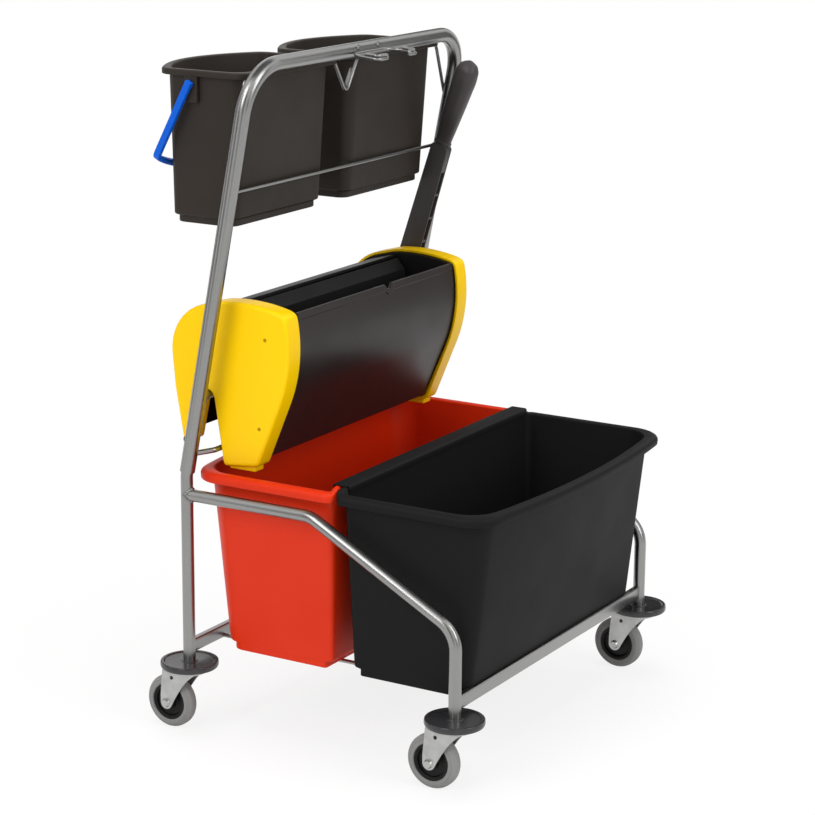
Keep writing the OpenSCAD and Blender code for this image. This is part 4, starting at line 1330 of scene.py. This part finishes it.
@dataclass
class Tubs:
    """Red and black tub, the same moulding turned end for end, and the strip that clips their rims."""

    rim: float = 14.0
    flat_rim: float = 8.0
    lip: float = 7.0
    bow: float = 24.0
    strip_t: float = 2.5
    strip_bend: float = 3.5
    strip_inner: float = 1.2
    strip_end: float = 0.8
    strip_edge: float = 0.5

    def __post_init__(self) -> None:
        """Fits the moulding to the frame's black tub."""
        low, high = box_mm("black_bucket")
        self.vessel = Vessel(
            half=high[0] - self.rim, flat_y=high[1] - self.flat_rim, bow_y=low[1] + self.rim + self.bow,
            height=high[2] - self.lip - low[2], base_z=low[2], bow=self.bow, bow_low=0.0,
            rim=self.rim, flat_rim=self.flat_rim, skirt=14.0, wall=3.0, foot_in=11.0, foot_h=11.0,
            end_taper=15.0, flat_taper=9.0, bow_taper=24.0, flat_r=12.0, flat_r_low=6.0,
            bow_r=38.0, bow_r_low=20.0, lip=self.lip, corner_growth=0.3, foot_end=0.0)
        self.turn_y = (high[1] + box_mm("red_bucket")[0][1]) / 2

    def strip(self) -> Shell:
        """Bent sheet channel over both flat rims.

        Returns:
            The channel.
        """
        low, high = box_mm("rim_link_strip")
        t = self.strip_t
        y0, y1, z0, z1 = low[1], high[1], low[2], high[2]
        corners = [(y0, z0), (y0, z1), (y1, z1), (y1, z0), (y1 - t, z0), (y1 - t, z1 - t), (y0 + t, z1 - t),
                   (y0 + t, z0)]
        out, inner, end = self.strip_bend, self.strip_inner, self.strip_end
        outline = bent_loop(corners, [end, out, out, end, end, inner, inner, end])
        return plate(outline, low[0], high[0], self.strip_edge)

    def build(self) -> None:
        """Makes both tubs and the strip."""
        shell = self.vessel.shell()
        add_piece("black_tub_moulding", shell, BLACK, Body.BLACK_TUB, ["black_bucket"])
        turn = Matrix.Rotation(math.pi, 4, "Z")
        add_piece("red_tub_moulding", shell.moved(turn, (0, 2 * self.turn_y, 0)), RED, Body.CHASSIS,
                  ["red_bucket"])
        add_piece("rim_strip", self.strip(), BLACK, Body.BLACK_TUB, ["rim_link_strip"])


@dataclass
class SmallPail:
    """Small dark pail that hangs on the wire by its rim, with its blue bail."""

    side: str
    rim: float = 8.0
    hook_rim: float = 13.0
    bow: float = 45.0
    pad_half: float = 11.0
    pad_drop: float = 24.0
    pad_below: float = 3.0
    pad_in: float = 2.0
    pad_out: float = 1.0
    pad_edge: float = 2.0
    bail_gap: float = 1.5
    bail_leg: float = 117.0
    bail_rise: float = 27.0
    bail_w: float = 10.0
    bail_t: float = 8.0
    bail_edge: float = 1.6
    bail_rest: float = 28.0
    arc_points: int = 60
    bail_points: int = 420
    bend_soft: float = 3.0
    bend_reach: int = 30
    eye_d: float = 14.0
    pin: float = 12.0
    pin_r: float = 4.0
    pin_edge: float = 0.3
    pin_steps: int = 32

    def __post_init__(self) -> None:
        """Reads the pail's box and the bail's pivot."""
        self.low, self.high = box_mm(f"small_bucket_{self.side}")
        self.pivot = JOINT_POS[f"bail_swing_{self.side}"]
        self.half_len = (self.high[0] - self.low[0]) / 2

    def vessel(self) -> Vessel:
        """The pail's moulding in its own frame.

        Returns:
            The vessel with its straight wall on y = 0.
        """
        depth = self.high[1] - self.low[1] - self.rim - self.hook_rim - self.bow
        return Vessel(
            half=self.half_len - self.rim, flat_y=0.0, bow_y=-depth,
            height=self.high[2] - self.low[2], base_z=self.low[2], bow=self.bow, bow_low=18.0,
            rim=self.rim, flat_rim=self.hook_rim, skirt=9.0, wall=2.5, foot_in=5.0, foot_h=10.0,
            end_taper=3.0, flat_taper=16.0, bow_taper=0.0, flat_r=22.0, flat_r_low=16.0,
            bow_r=9.0, bow_r_low=9.0, rim_r=2.4, corner_growth=0.2)

    def bosses(self) -> Shell:
        """Raised pads on both end walls that take the bail's pins.

        Returns:
            Both pads.
        """
        inner, outer = self.half_len - self.rim - self.pad_in, self.half_len - self.pad_out
        px, py, pz = self.pivot
        return Shell.join([block((px + x0, py - self.pad_half, pz - self.pad_drop),
                                 (px + x1, py + self.pad_half, self.high[2] - self.pad_below), self.pad_edge)
                           for x0, x1 in ((-outer, -inner), (inner, outer))])

    def bail(self) -> Shell:
        """Flat strap handle: two straight legs with square ends and a shallow arc, and a pin in each leg.

        The arc is the circle through both leg ends and the rise at its middle.

        Returns:
            The strap in its resting place.
        """
        inner = self.half_len + self.bail_gap
        mid = inner + self.bail_t / 2
        r = (mid ** 2 + self.bail_rise ** 2) / (2 * self.bail_rise)
        span = math.degrees(math.asin(mid / r))
        crown = arc((0, self.bail_leg + self.bail_rise - r), r, 90 + span, 90 - span,
                    self.arc_points)
        past = -self.eye_d / 2
        path = resample(np.vstack([[(-mid, past)], crown, [(mid, past)]]), self.bail_points)
        path = soften_line(path, self.bend_soft, self.bend_reach)
        line = np.column_stack([path, np.zeros(len(path))])
        strap = sweep(line, round_rect(self.bail_t, self.bail_w, self.bail_edge), (0, 0, 1))
        turn = Matrix.Rotation(math.radians(self.bail_rest - 90), 4, "X")
        pin = bent_line([(0, 0), (self.pin_r, 0), (self.pin_r, self.pin), (0, self.pin)],
                        [self.pin_edge] * 2, 4)
        pins = [turned(pin, (x, 0, 0), Axis.X, steps=self.pin_steps) for x in (-inner, inner - self.pin)]
        return Shell.join([strap.moved(turn, self.pivot)] + [s.moved(offset=self.pivot) for s in pins])

    def build(self) -> None:
        """Makes the pail and its bail."""
        turn = Matrix.Rotation(math.pi, 4, "Z")
        wall = self.vessel().shell().moved(turn, (self.pivot[0], self.low[1] + self.hook_rim, 0))
        add_piece(f"pail_moulding_{self.side}", Shell.join([wall, self.bosses()]), PAIL, f"pail_{self.side}",
                  [f"small_bucket_{self.side}"])
        add_piece(f"bail_strap_{self.side}", self.bail(), BLUE, f"pail_bail_{self.side}",
                  [f"bail_{self.side}"])


@dataclass
class MopPress:
    """Lever press for flat mops: yellow end caps, black panels, jaw and lever."""

    datum: Datum
    hub_r: float = 72.0
    hub_span: tuple[float, float] = (-9.0, 78.0)
    front_r: float = 216.0
    front_c: tuple[float, float] = (74.0, 79.0)
    front_span: tuple[float, float] = (167.0, 202.3)
    top_r: float = 290.0
    top_c: tuple[float, float] = (-57.0, -149.3)
    top_span: tuple[float, float] = (83.7, 104.0)
    shaft_p: tuple[float, float] = (-11.0, 61.0)
    toe: tuple[float, float] = (-87.0, -97.0)
    toe_slant: tuple[float, float] = (1.25, 1.1)
    heel: tuple[float, float] = (-28.0, -103.0)
    rear_foot: tuple[float, float, float] = (27.0, 42.0, -74.0)
    rear_edge: tuple[float, float] = (56.0, 5.0)
    notch_r: float = 12.5
    notch_z: float = -5.0
    cap_wall: float = 4.0
    cap_fillet: float = 6.0
    cap_points: int = 480
    cap_soft: float = 2.2
    ledge_in: tuple[float, float] = (3.0, 7.0)
    ledge_y: tuple[float, float] = (-80.0, -36.0)
    ledge_z: tuple[float, float] = (-106.0, -97.0)
    ledge_edge: float = 1.5
    sheet_in: float = 5.0
    sheet_t: float = 4.0
    sheet_edge: float = 0.8
    rear_in: float = 8.0
    rear_low: tuple[float, float] = (44.8, -58.0)
    rear_top: float = 84.6
    front_top: float = 166.5
    front_foot: float = 95.0
    band: float = 10.5
    band_out: float = 1.4
    band_in: float = 0.5
    panel_bends: tuple[float, ...] = (0.8, 0.4, 0.6, 2.4, 2.4, 0.6, 0.4, 0.8)
    panel_step: float = 5.0
    dip_x: float = 31.0
    dip_half: float = 11.0
    dip_low: float = 3.0
    dip_depth: float = 7.5
    dip_fade: float = 60.0
    dip_reach: float = 1.1
    screws: tuple[tuple[float, float], ...] = ((-103.0, 92.0), (-92.0, -39.0))
    dome: tuple[tuple[float, float], ...] = ((0.0, 0.9), (2.6, 0.8), (2.9, -2.0), (0.0, -2.0))
    dome_bends: tuple[float, float] = (0.6, 0.2)
    dome_steps: int = 40
    arc_points: int = 40

    def __post_init__(self) -> None:
        """Reads the axis of the hanger rod and the planes of the caps."""
        shaft = self.datum.shaft
        self.axis = np.array([0, shaft[1] - self.shaft_p[0], shaft[2] - self.shaft_p[1]])
        low, high = box_mm("press_cap_right")
        self.cap_in, self.cap_out = low[0], high[0]
        self.plate_in = box_mm("press_end_plate_right")[0][0]

    def outline(self, e: float) -> Array:
        """Side outline of the housing moved inwards.

        It runs over the rear arc, the top arc, the front arc, the slanted foot and round the notch.

        Args:
            e: Distance inwards.

        Returns:
            Evenly spread points in y and z about the hanger rod.
        """
        toe = (self.toe[0] + self.toe_slant[0] * e, self.toe[1] + e)
        heel = (self.heel[0] - self.toe_slant[1] * e, self.heel[1] + e)
        inner, outer, foot = self.rear_foot
        return np.vstack([
            arc(self.shaft_p, self.hub_r - e, *self.hub_span, self.arc_points),
            arc(self.top_c, self.top_r - e, *self.top_span, self.arc_points),
            arc(self.front_c, self.front_r - e, *self.front_span, 60), [toe, heel],
            arc((0, self.notch_z), self.notch_r + e, 180, 0, 30),
            [(inner + e, foot + e), (outer - e, foot + e), (self.rear_edge[0] - e, self.rear_edge[1])]])

    def cap(self) -> Shell:
        """Right end cap: a hollow shell with a rounded outer edge.

        The rings go from the floor of the hollow over its rim and along the outside to the outer face,
        whose edge is inset f (1 - cos t) at depth f (1 - sin t).

        Returns:
            The cap.
        """
        f, w = self.cap_fillet, self.cap_wall
        t = np.linspace(0, math.pi / 2, 8)
        depth = [self.cap_out - w, self.cap_in + 0.5, self.cap_in, self.cap_in, self.cap_in + 0.6]
        inset = [w, w, w - 0.5, 0.6, 0.0]
        x = np.concatenate([depth, self.cap_out - f * (1 - np.sin(t))])
        e = np.concatenate([inset, f * (1 - np.cos(t))])
        rings = np.stack([soften(resample(self.outline(v), self.cap_points, True), self.cap_soft) for v in e])
        grid = np.concatenate([np.broadcast_to(x[:, None, None], rings[..., :1].shape), rings], axis=-1)
        return skin(grid).moved(offset=self.axis)

    def cap_foot(self) -> Shell:
        """Low ledge under the right cap.

        Returns:
            The ledge.
        """
        x = (self.cap_in + self.ledge_in[0], self.cap_out - self.ledge_in[1])
        low, high = zip(x, self.ledge_y, self.ledge_z)
        return block(low, high, self.ledge_edge).moved(offset=self.axis)

    def screw_heads(self) -> Shell:
        """Small domed heads of the screws in both caps.

        Returns:
            All heads.
        """
        dome = bent_line(self.dome, self.dome_bends, 5)
        heads = Shell.join([turned(dome * (1, s), (s * self.cap_out, *p), Axis.X, steps=self.dome_steps)
                            for s in SIDES.values() for p in self.screws])
        return heads.moved(offset=self.axis)

    def front_panel(self) -> Shell:
        """Curved front panel with a raised band along its top edge, which dips in a small V notch.

        A point lies u below the top edge at radius r: centre + r (cos a, sin a), where a grows with u up to
        the end of the arc, and straight on from there. The notch adds to u, fading out below the band.

        Returns:
            The panel.
        """
        outer = self.front_r - self.sheet_in
        inner, b = outer - self.sheet_t, self.band
        face, back = outer + self.band_out, inner - self.band_in
        mid, end, top = (outer + inner) / 2, math.radians(self.front_span[1]), math.radians(self.front_top)
        length = (end - top) * mid + self.front_foot
        corners = [(length, outer), (b + 1, outer), (b, face), (0, face), (0, back), (b, back),
                   (b + 1, inner), (length, inner)]
        section = split(bent_loop(corners, self.panel_bends), self.panel_step)
        even = np.linspace(-self.plate_in, self.plate_in, 41)
        near = self.dip_x + np.linspace(-self.dip_reach, self.dip_reach, 23) * self.dip_half
        x = np.unique(np.concatenate([even, near]))
        slope = (self.dip_half - np.abs(x - self.dip_x)) / (self.dip_half - self.dip_low)
        dip = self.dip_depth * np.clip(slope, 0, 1)
        u = section[None, :, 0] + dip[:, None] * np.clip(1 - section[None, :, 0] / self.dip_fade, 0, 1)
        a = top + u / mid
        on = np.minimum(a, end)
        past = (a - on) * mid
        r = section[None, :, 1]
        y = self.front_c[0] + r * np.cos(on) - past * math.sin(end)
        z = self.front_c[1] + r * np.sin(on) + past * math.cos(end)
        grid = np.stack([np.broadcast_to(x[:, None], y.shape), y, z], axis=-1)
        return skin(grid).moved(offset=self.axis)

    def rear_line(self, e: float) -> Array:
        """Side line of the rear cover: up from its foot, over the rear arc and onto the top arc.

        Args:
            e: Distance inwards from the housing's outline.

        Returns:
            Points in y and z about the hanger rod.
        """
        return np.vstack([[(y - e, z) for y, z in (self.rear_low, self.rear_edge)],
                          arc(self.shaft_p, self.hub_r - e, *self.hub_span, self.arc_points),
                          arc(self.top_c, self.top_r - e, self.top_span[0], self.rear_top, 4)])

    def rear_cover(self) -> Shell:
        """Sheet over the back of the housing, from its foot to the rear edge of the mouth.

        Returns:
            The cover.
        """
        loop = np.vstack([self.rear_line(self.rear_in), self.rear_line(self.rear_in + self.sheet_t)[::-1]])
        return plate(loop, -self.plate_in, self.plate_in, self.sheet_edge).moved(offset=self.axis)

    def build(self) -> None:
        """Makes every piece of the housing."""
        cap = Shell.join([self.cap(), self.cap_foot()])
        add_piece("end_cap_right", cap, YELLOW, Body.CHASSIS, ["press_cap_right"])
        add_piece("end_cap_left", cap.flipped(), YELLOW, Body.CHASSIS, ["press_cap_left"])
        # The screw heads' yellow is a painted reflection of the caps round them
        add_piece("cap_screw_heads", self.screw_heads(), SCREW_PAINTED_CAP_REFLECTION, Body.CHASSIS, ["cap_screws"])
        add_piece("front_panel", self.front_panel(), PANEL, Body.CHASSIS, ["press_front_panel"])
        add_piece("rear_cover", self.rear_cover(), INNER, Body.CHASSIS, ["press_rear_cover"])
        dress(INNER, ["press_jaw", "press_end_plate_left", "press_end_plate_right", "drive_cams"])
        dress(FIXING, ["jaw_hinge_rod", "jaw_springs", "cam_shaft", "lever_bolt"])
        dress(ACETAL, ["shaft_bushes"])


@dataclass
class PressLever:
    """Hand lever of the press: ribbed arm on the cam shaft and rounded grip."""

    datum: Datum
    base_half: float = 19.0
    end_half: float = 15.0
    length: float = 256.0
    wire_gap: float = 3.55
    side: float = 2.6
    edge: float = 1.0
    tuck: float = 0.5
    inset: float = 1.2
    web: float = 5.0
    rib_low: float = 58.5
    rib_pitch: float = 39.5
    rib_t: float = 4.0
    ribs: int = 4
    shoulder: float = 7.0
    crown_h: float = 20.0
    crown_tuck: float = 0.4
    grip_lean: float = 3.5
    grip_len: float = 143.0
    grip_shift: tuple[float, float] = (6.0, 2.0)
    grip_ease: float = 60.0
    grip_power: float = 0.75
    grip_rings: int = 64
    grip_low: tuple[float, ...] = (1.0, 14.0, 32.0, 60.0)
    grip_high: tuple[float, ...] = (50.0, 24.0, 11.0, 4.0, 0.0)
    grip_wide: tuple[float, ...] = (7.6, 8.2, 10.2, 12.8, 14.8, 15.2, 13.0, 8.8, 2.5)
    grip_deep: tuple[float, ...] = (12.8, 13.4, 14.6, 16.2, 17.6, 18.0, 15.4, 10.2, 3.0)
    collar: tuple[float, float] = (8.6, 14.2)
    collar_z: tuple[float, ...] = (0.2, 0.5, 1.2, 5.0, 5.7, 6.0)
    collar_edge: tuple[float, ...] = (-0.8, -0.3, 0.0, 0.0, -0.3, -0.8)

    def __post_init__(self) -> None:
        """Reads the arm's planes, and its lean from the stop wire that it rests behind."""
        low, high = box_mm("lever_arm")
        self.x0, self.x1 = low[0], high[0]
        first, last = box_mm("bucket_stop_wire")
        wire_r = (last[2] - first[2]) / 2
        lead = self.datum.shaft[1] - (first[1] + last[1]) / 2
        rise = (first[2] + last[2]) / 2 - self.datum.shaft[2]
        stand = (self.end_half + wire_r + self.wire_gap) / math.hypot(lead, rise)
        self.lean = math.atan2(lead, rise) + math.asin(stand)

    def half(self, z: float) -> float:
        """Half width of the arm at height z."""
        return self.base_half + (self.end_half - self.base_half) * z / self.length

    def placed(self, shell: Shell) -> Shell:
        """A shell of the lever's own frame, leaned about the cam shaft."""
        return shell.moved(Matrix.Rotation(self.lean, 4, "X"), self.datum.shaft * (0, 1, 1))

    def slice(self, low: float, high: float, front: float | None = None) -> Array:
        """Outline of the arm between two heights, a little inside its sides.

        Args:
            low: Lower end.
            high: Upper end.
            front: Front edge, or none for the arm's own.

        Returns:
            Corners in y and z.
        """
        a, b = self.half(low) - self.tuck, self.half(high) - self.tuck
        f0, f1 = (-a, -b) if front is None else (front, front)
        return bent_loop([(a, low), (b, high), (f1, high), (f0, low)], [self.edge] * 4, 3)

    def arm(self) -> Shell:
        """Channel arm that is open to the front: two sides, a web, ribs across and solid ends.

        Returns:
            The arm.
        """
        w, e, l = self.base_half, self.end_half, self.length
        top = bent_line([(w, 0), (e, l), (-e, l), (-w, 0)], [self.shoulder] * 2, 10)
        sides = np.vstack([arc((0, 0), w, 180, 360, 48)[:-1], top[:-1]])
        x0, x1 = self.x0, self.x1
        last = self.rib_low + self.ribs * self.rib_pitch - self.rib_t
        hub = arc((0, 0), w - self.tuck, 0, 360, 64)[:-1]
        web = self.slice(self.rib_low - self.web, last + self.web, -self.web)
        inside = [self.slice(0, self.rib_low), hub, web, self.slice(last, l - self.shoulder)]
        tops = self.rib_low + self.rib_pitch * np.arange(1, self.ribs)
        inside += [self.slice(z - self.rib_t, z) for z in tops]
        parts = [plate(sides, x, x + self.side, self.edge) for x in (x0, x1 - self.side)]
        parts += [plate(o, x0 + self.inset, x1 - self.inset, self.tuck) for o in inside]
        y, low, high = e - self.inset / 2, l - self.crown_h, l - self.crown_tuck
        crown = bent_loop([(y, low), (y, high), (-y, high), (-y, low)],
                          [self.edge, self.shoulder, self.shoulder, self.edge])
        parts.append(plate(crown, x0 + self.inset / 2, x1 - self.inset / 2, 2 * self.edge))
        return self.placed(Shell.join(parts))

    def ring_stack(self, z: Array, hx: Array, hy: Array) -> Shell:
        """Rings stacked along the grip: x and y go as a power of |cos a| and |sin a|, with their sign.

        Args:
            z: Height of each ring over the arm.
            hx: Half width of each ring.
            hy: Half depth of each ring.

        Returns:
            The stack in its place.
        """
        a = np.linspace(0, 2 * math.pi, 64, endpoint=False)[None]
        c, s = (np.sign(v) * np.abs(v) ** self.grip_power for v in (np.cos(a), np.sin(a)))
        t = np.clip(z / self.grip_ease, 0, 1)
        ease = (t * t * (3 - 2 * t))[:, None]
        x = (self.x0 + self.x1) / 2 - self.grip_shift[0] * ease + hx[:, None] * c
        y = hy[:, None] * s - self.grip_shift[1] * ease
        grid = np.stack([x, y, np.broadcast_to(z[:, None], x.shape)], axis=-1)
        tilt = Matrix.Rotation(math.radians(self.grip_lean), 4, "X")
        return self.placed(skin(grid).moved(tilt, (0, 0, self.length)))

    def grip(self) -> Shell:
        """Grip that swells from a narrow neck over a collar to a full rounded end.

        Returns:
            The grip with its collar.
        """
        l = self.grip_len
        knots = np.concatenate([self.grip_low, l - np.array(self.grip_high)])
        z = knots[0] + (l - knots[0]) * np.sin(np.linspace(0, math.pi / 2, self.grip_rings))
        body = self.ring_stack(z, *(flowing(z, knots, np.array(v)) for v in (self.grip_wide, self.grip_deep)))
        edge = np.array(self.collar_edge)
        collar = self.ring_stack(np.array(self.collar_z), *(half + edge for half in self.collar))
        return Shell.join([body, collar])

    def build(self) -> None:
        """Makes the arm and the grip."""
        add_piece("lever_channel", self.arm(), NYLON, Body.LEVER, ["lever_arm"])
        add_piece("lever_handgrip", self.grip(), NYLON, Body.LEVER, ["lever_grip"])


@dataclass
class Studio:
    """Camera at the photograph's view, pale floor and soft light."""

    lens: float = 112.66
    sensor: float = 36.0
    place: tuple[float, float, float] = (-3.16565, -1.85426, 1.39170)
    azimuth: float = -59.27
    pitch: float = 14.28
    roll: float = 0.40
    floor_size: float = 40.0
    surround: float = 0.45
    shadow_reach: tuple[float, float] = (0.35, 1.2)
    shadow_lift: float = 0.83
    flags: int = 8
    flag_distance: float = 2.6
    flag_half: float = 0.42
    flag_span: tuple[float, float] = (0.05, 2.3)
    ceiling: float = 2.4
    ceiling_z: float = 2.9
    key_power: float = 52.0
    aim: tuple[float, float, float] = (0.0, 0.0, 0.5)
    # Name, place, width and height, and power as a share of the key's
    lamps: tuple[tuple, ...] = (("key_left", (-3.2, 0.6, 2.4), (1.6, 2.2), 1.0),
                                ("key_front", (-0.4, -3.4, 2.2), (1.8, 2.2), 1.0),
                                ("top", (0.0, 0.0, 3.6), (2.4, 2.4), 1.4))

    def camera(self) -> None:
        """Places the camera: along the azimuth, tipped down by the pitch and rolled about its view."""
        a, p, r = (math.radians(v) for v in (self.azimuth, self.pitch, self.roll))
        ahead = Vector((-math.sin(a) * math.cos(p), math.cos(a) * math.cos(p), -math.sin(p)))
        level = Vector((math.cos(a), math.sin(a), 0.0))
        rise = level.cross(ahead)
        right = level * math.cos(r) + rise * math.sin(r)
        up = right.cross(ahead)
        data = bpy.data.cameras.new("camera")
        data.lens, data.sensor_width = self.lens, self.sensor
        camera = bpy.data.objects.new("camera", data)
        turn = Matrix((right, up, -ahead)).transposed()
        camera.matrix_world = Matrix.Translation(self.place) @ turn.to_4x4()
        bpy.context.scene.collection.objects.link(camera)
        bpy.context.scene.camera = camera

    def seen_white(self, tree: bpy.types.NodeTree, plain: bpy.types.NodeSocket, kind: str,
                   share: bpy.types.NodeSocket | None = None) -> bpy.types.NodeSocket:
        """Shader that is white where it is seen or mirrored, and lights the object by another shader.

        Args:
            tree: Node tree.
            plain: Shader for all other rays.
            kind: Blender's name of the white shader's type.
            share: Share of white where it is seen, or none for all of it.

        Returns:
            The mixed shader.
        """
        path = add_node(tree, "ShaderNodeLightPath")
        seen = path.outputs["Is Camera Ray"]
        for ray in ("Is Glossy Ray", "Is Transmission Ray"):
            seen = add_node(tree, "ShaderNodeMath", {0: seen, 1: path.outputs[ray]},
                            operation="MAXIMUM").outputs[0]
        if share is not None:
            seen = add_node(tree, "ShaderNodeMath", {0: seen, 1: share}, operation="MULTIPLY").outputs[0]
        white = add_node(tree, kind, {"Strength": 1.0, "Color": (1, 1, 1, 1)})
        return add_node(tree, "ShaderNodeMixShader", {0: seen, 1: plain, 2: white.outputs[0]}).outputs[0]

    def world(self) -> None:
        """Soft grey surround that is white where it is seen."""
        world = bpy.data.worlds.new("studio")
        bpy.context.scene.world = world
        world.use_nodes = True
        tree = world.node_tree
        tree.nodes.clear()
        plain = add_node(tree, "ShaderNodeBackground", {"Color": (1, 1, 1, 1), "Strength": self.surround})
        white = self.seen_white(tree, plain.outputs[0], "ShaderNodeBackground")
        add_node(tree, "ShaderNodeOutputWorld", {"Surface": white})

    def sheet(self, name: str, corners: Sequence, made: bpy.types.Material) -> bpy.types.Object:
        """Flat four-cornered stage piece.

        Args:
            name: Name of the piece.
            corners: Its corners in metres.
            made: Its material.

        Returns:
            The new object.
        """
        mesh = bpy.data.meshes.new(name)
        mesh.from_pydata([tuple(float(v) for v in c) for c in corners], [], [(0, 1, 2, 3)])
        mesh.materials.append(made)
        piece = bpy.data.objects.new(name, mesh)
        bpy.context.scene.collection.objects.link(piece)
        return piece

    def paint(self, name: str, colour: str) -> tuple[bpy.types.Material, bpy.types.Node, bpy.types.Node]:
        """Matt paint for stage pieces.

        Args:
            name: Name of the material.
            colour: Its sRGB colour.

        Returns:
            The material, its shader node and its output node.
        """
        made = bpy.data.materials.new(name)
        made.use_nodes = True
        tree = made.node_tree
        tree.nodes.clear()
        shader = add_node(tree, "ShaderNodeBsdfDiffuse", {"Color": linear(colour)})
        out = add_node(tree, "ShaderNodeOutputMaterial", {"Surface": shader.outputs[0]})
        return made, shader, out

    def floor(self) -> None:
        """Pale matt floor that keeps the trolley's shadow and turns plain white away from it."""
        half = self.floor_size / 2
        made, shader, out = self.paint("white_floor_paint", "#FAFAFA")
        tree = made.node_tree
        place = add_node(tree, "ShaderNodeTexCoord").outputs["Object"]
        away = add_node(tree, "ShaderNodeVectorMath", {0: place}, operation="LENGTH").outputs["Value"]
        share = add_node(tree, "ShaderNodeMapRange", {
            "Value": away, "From Min": self.shadow_reach[0], "From Max": self.shadow_reach[1],
            "To Min": self.shadow_lift, "To Max": 1.0}, interpolation_type="SMOOTHSTEP").outputs["Result"]
        white = self.seen_white(tree, shader.outputs[0], "ShaderNodeEmission", share)
        tree.links.new(white, out.inputs["Surface"])
        self.sheet("floor", [(-half, -half, 0), (half, -half, 0), (half, half, 0), (-half, half, 0)], made)

    def dark_flags(self) -> None:
        """Ring and ceiling of dark flags that only gloss mirrors, so that tubes keep dark edges all round."""
        made = self.paint("black_flag_cloth", "#161616")[0]
        for i in range(self.flags):
            a = 2 * math.pi * (i + 0.5) / self.flags
            mid = Vector((math.cos(a), math.sin(a), 0)) * self.flag_distance
            across = Vector((-math.sin(a), math.cos(a), 0)) * self.flag_half
            low, high = (Vector((0, 0, z)) for z in self.flag_span)
            self.mirrored_only(self.sheet(f"flag_{i}", [mid - across + low, mid + across + low,
                                                        mid + across + high, mid - across + high], made))
        h, z = self.ceiling / 2, self.ceiling_z
        self.mirrored_only(self.sheet("flag_top", [(-h, -h, z), (h, -h, z), (h, h, z), (-h, h, z)], made))

    def mirrored_only(self, flag: bpy.types.Object) -> None:
        """Hides a stage piece from all rays but mirrored ones."""
        flag.visible_camera = flag.visible_diffuse = flag.visible_transmission = flag.visible_shadow = False

    def softbox(self, name: str, place: Sequence[float], size: Sequence[float], power: float) -> None:
        """Large rectangular lamp that faces the middle of the trolley.

        Args:
            name: Name of the lamp.
            place: Its centre, in metres.
            size: Width and height in metres.
            power: Power in watts.
        """
        data = bpy.data.lights.new(name, "AREA")
        data.shape = "RECTANGLE"
        data.size, data.size_y = size
        data.energy = power
        lamp = bpy.data.objects.new(name, data)
        lamp.location = place
        lamp.rotation_euler = (Vector(self.aim) - Vector(place)).to_track_quat("-Z", "Y").to_euler()
        bpy.context.scene.collection.objects.link(lamp)

    def build(self) -> None:
        """Sets up the whole studio."""
        bpy.context.scene.view_settings.view_transform = "Standard"
        self.camera()
        self.world()
        self.floor()
        self.dark_flags()
        for name, place, size, share in self.lamps:
            self.softbox(name, place, size, self.key_power * share)


def main() -> None:
    """Builds the studio and every sub-assembly."""
    logging.basicConfig(level=logging.INFO, format="%(name)s %(message)s")
    datum = Datum()
    Studio().build()
    Chassis(datum).build()
    PushHandle(datum).build()
    for place in CORNERS:
        Castor(place).build()
    Tubs().build()
    for side in SIDES:
        SmallPail(side).build()
    MopPress(datum).build()
    PressLever(datum).build()


if __name__ == "__main__":
    main()
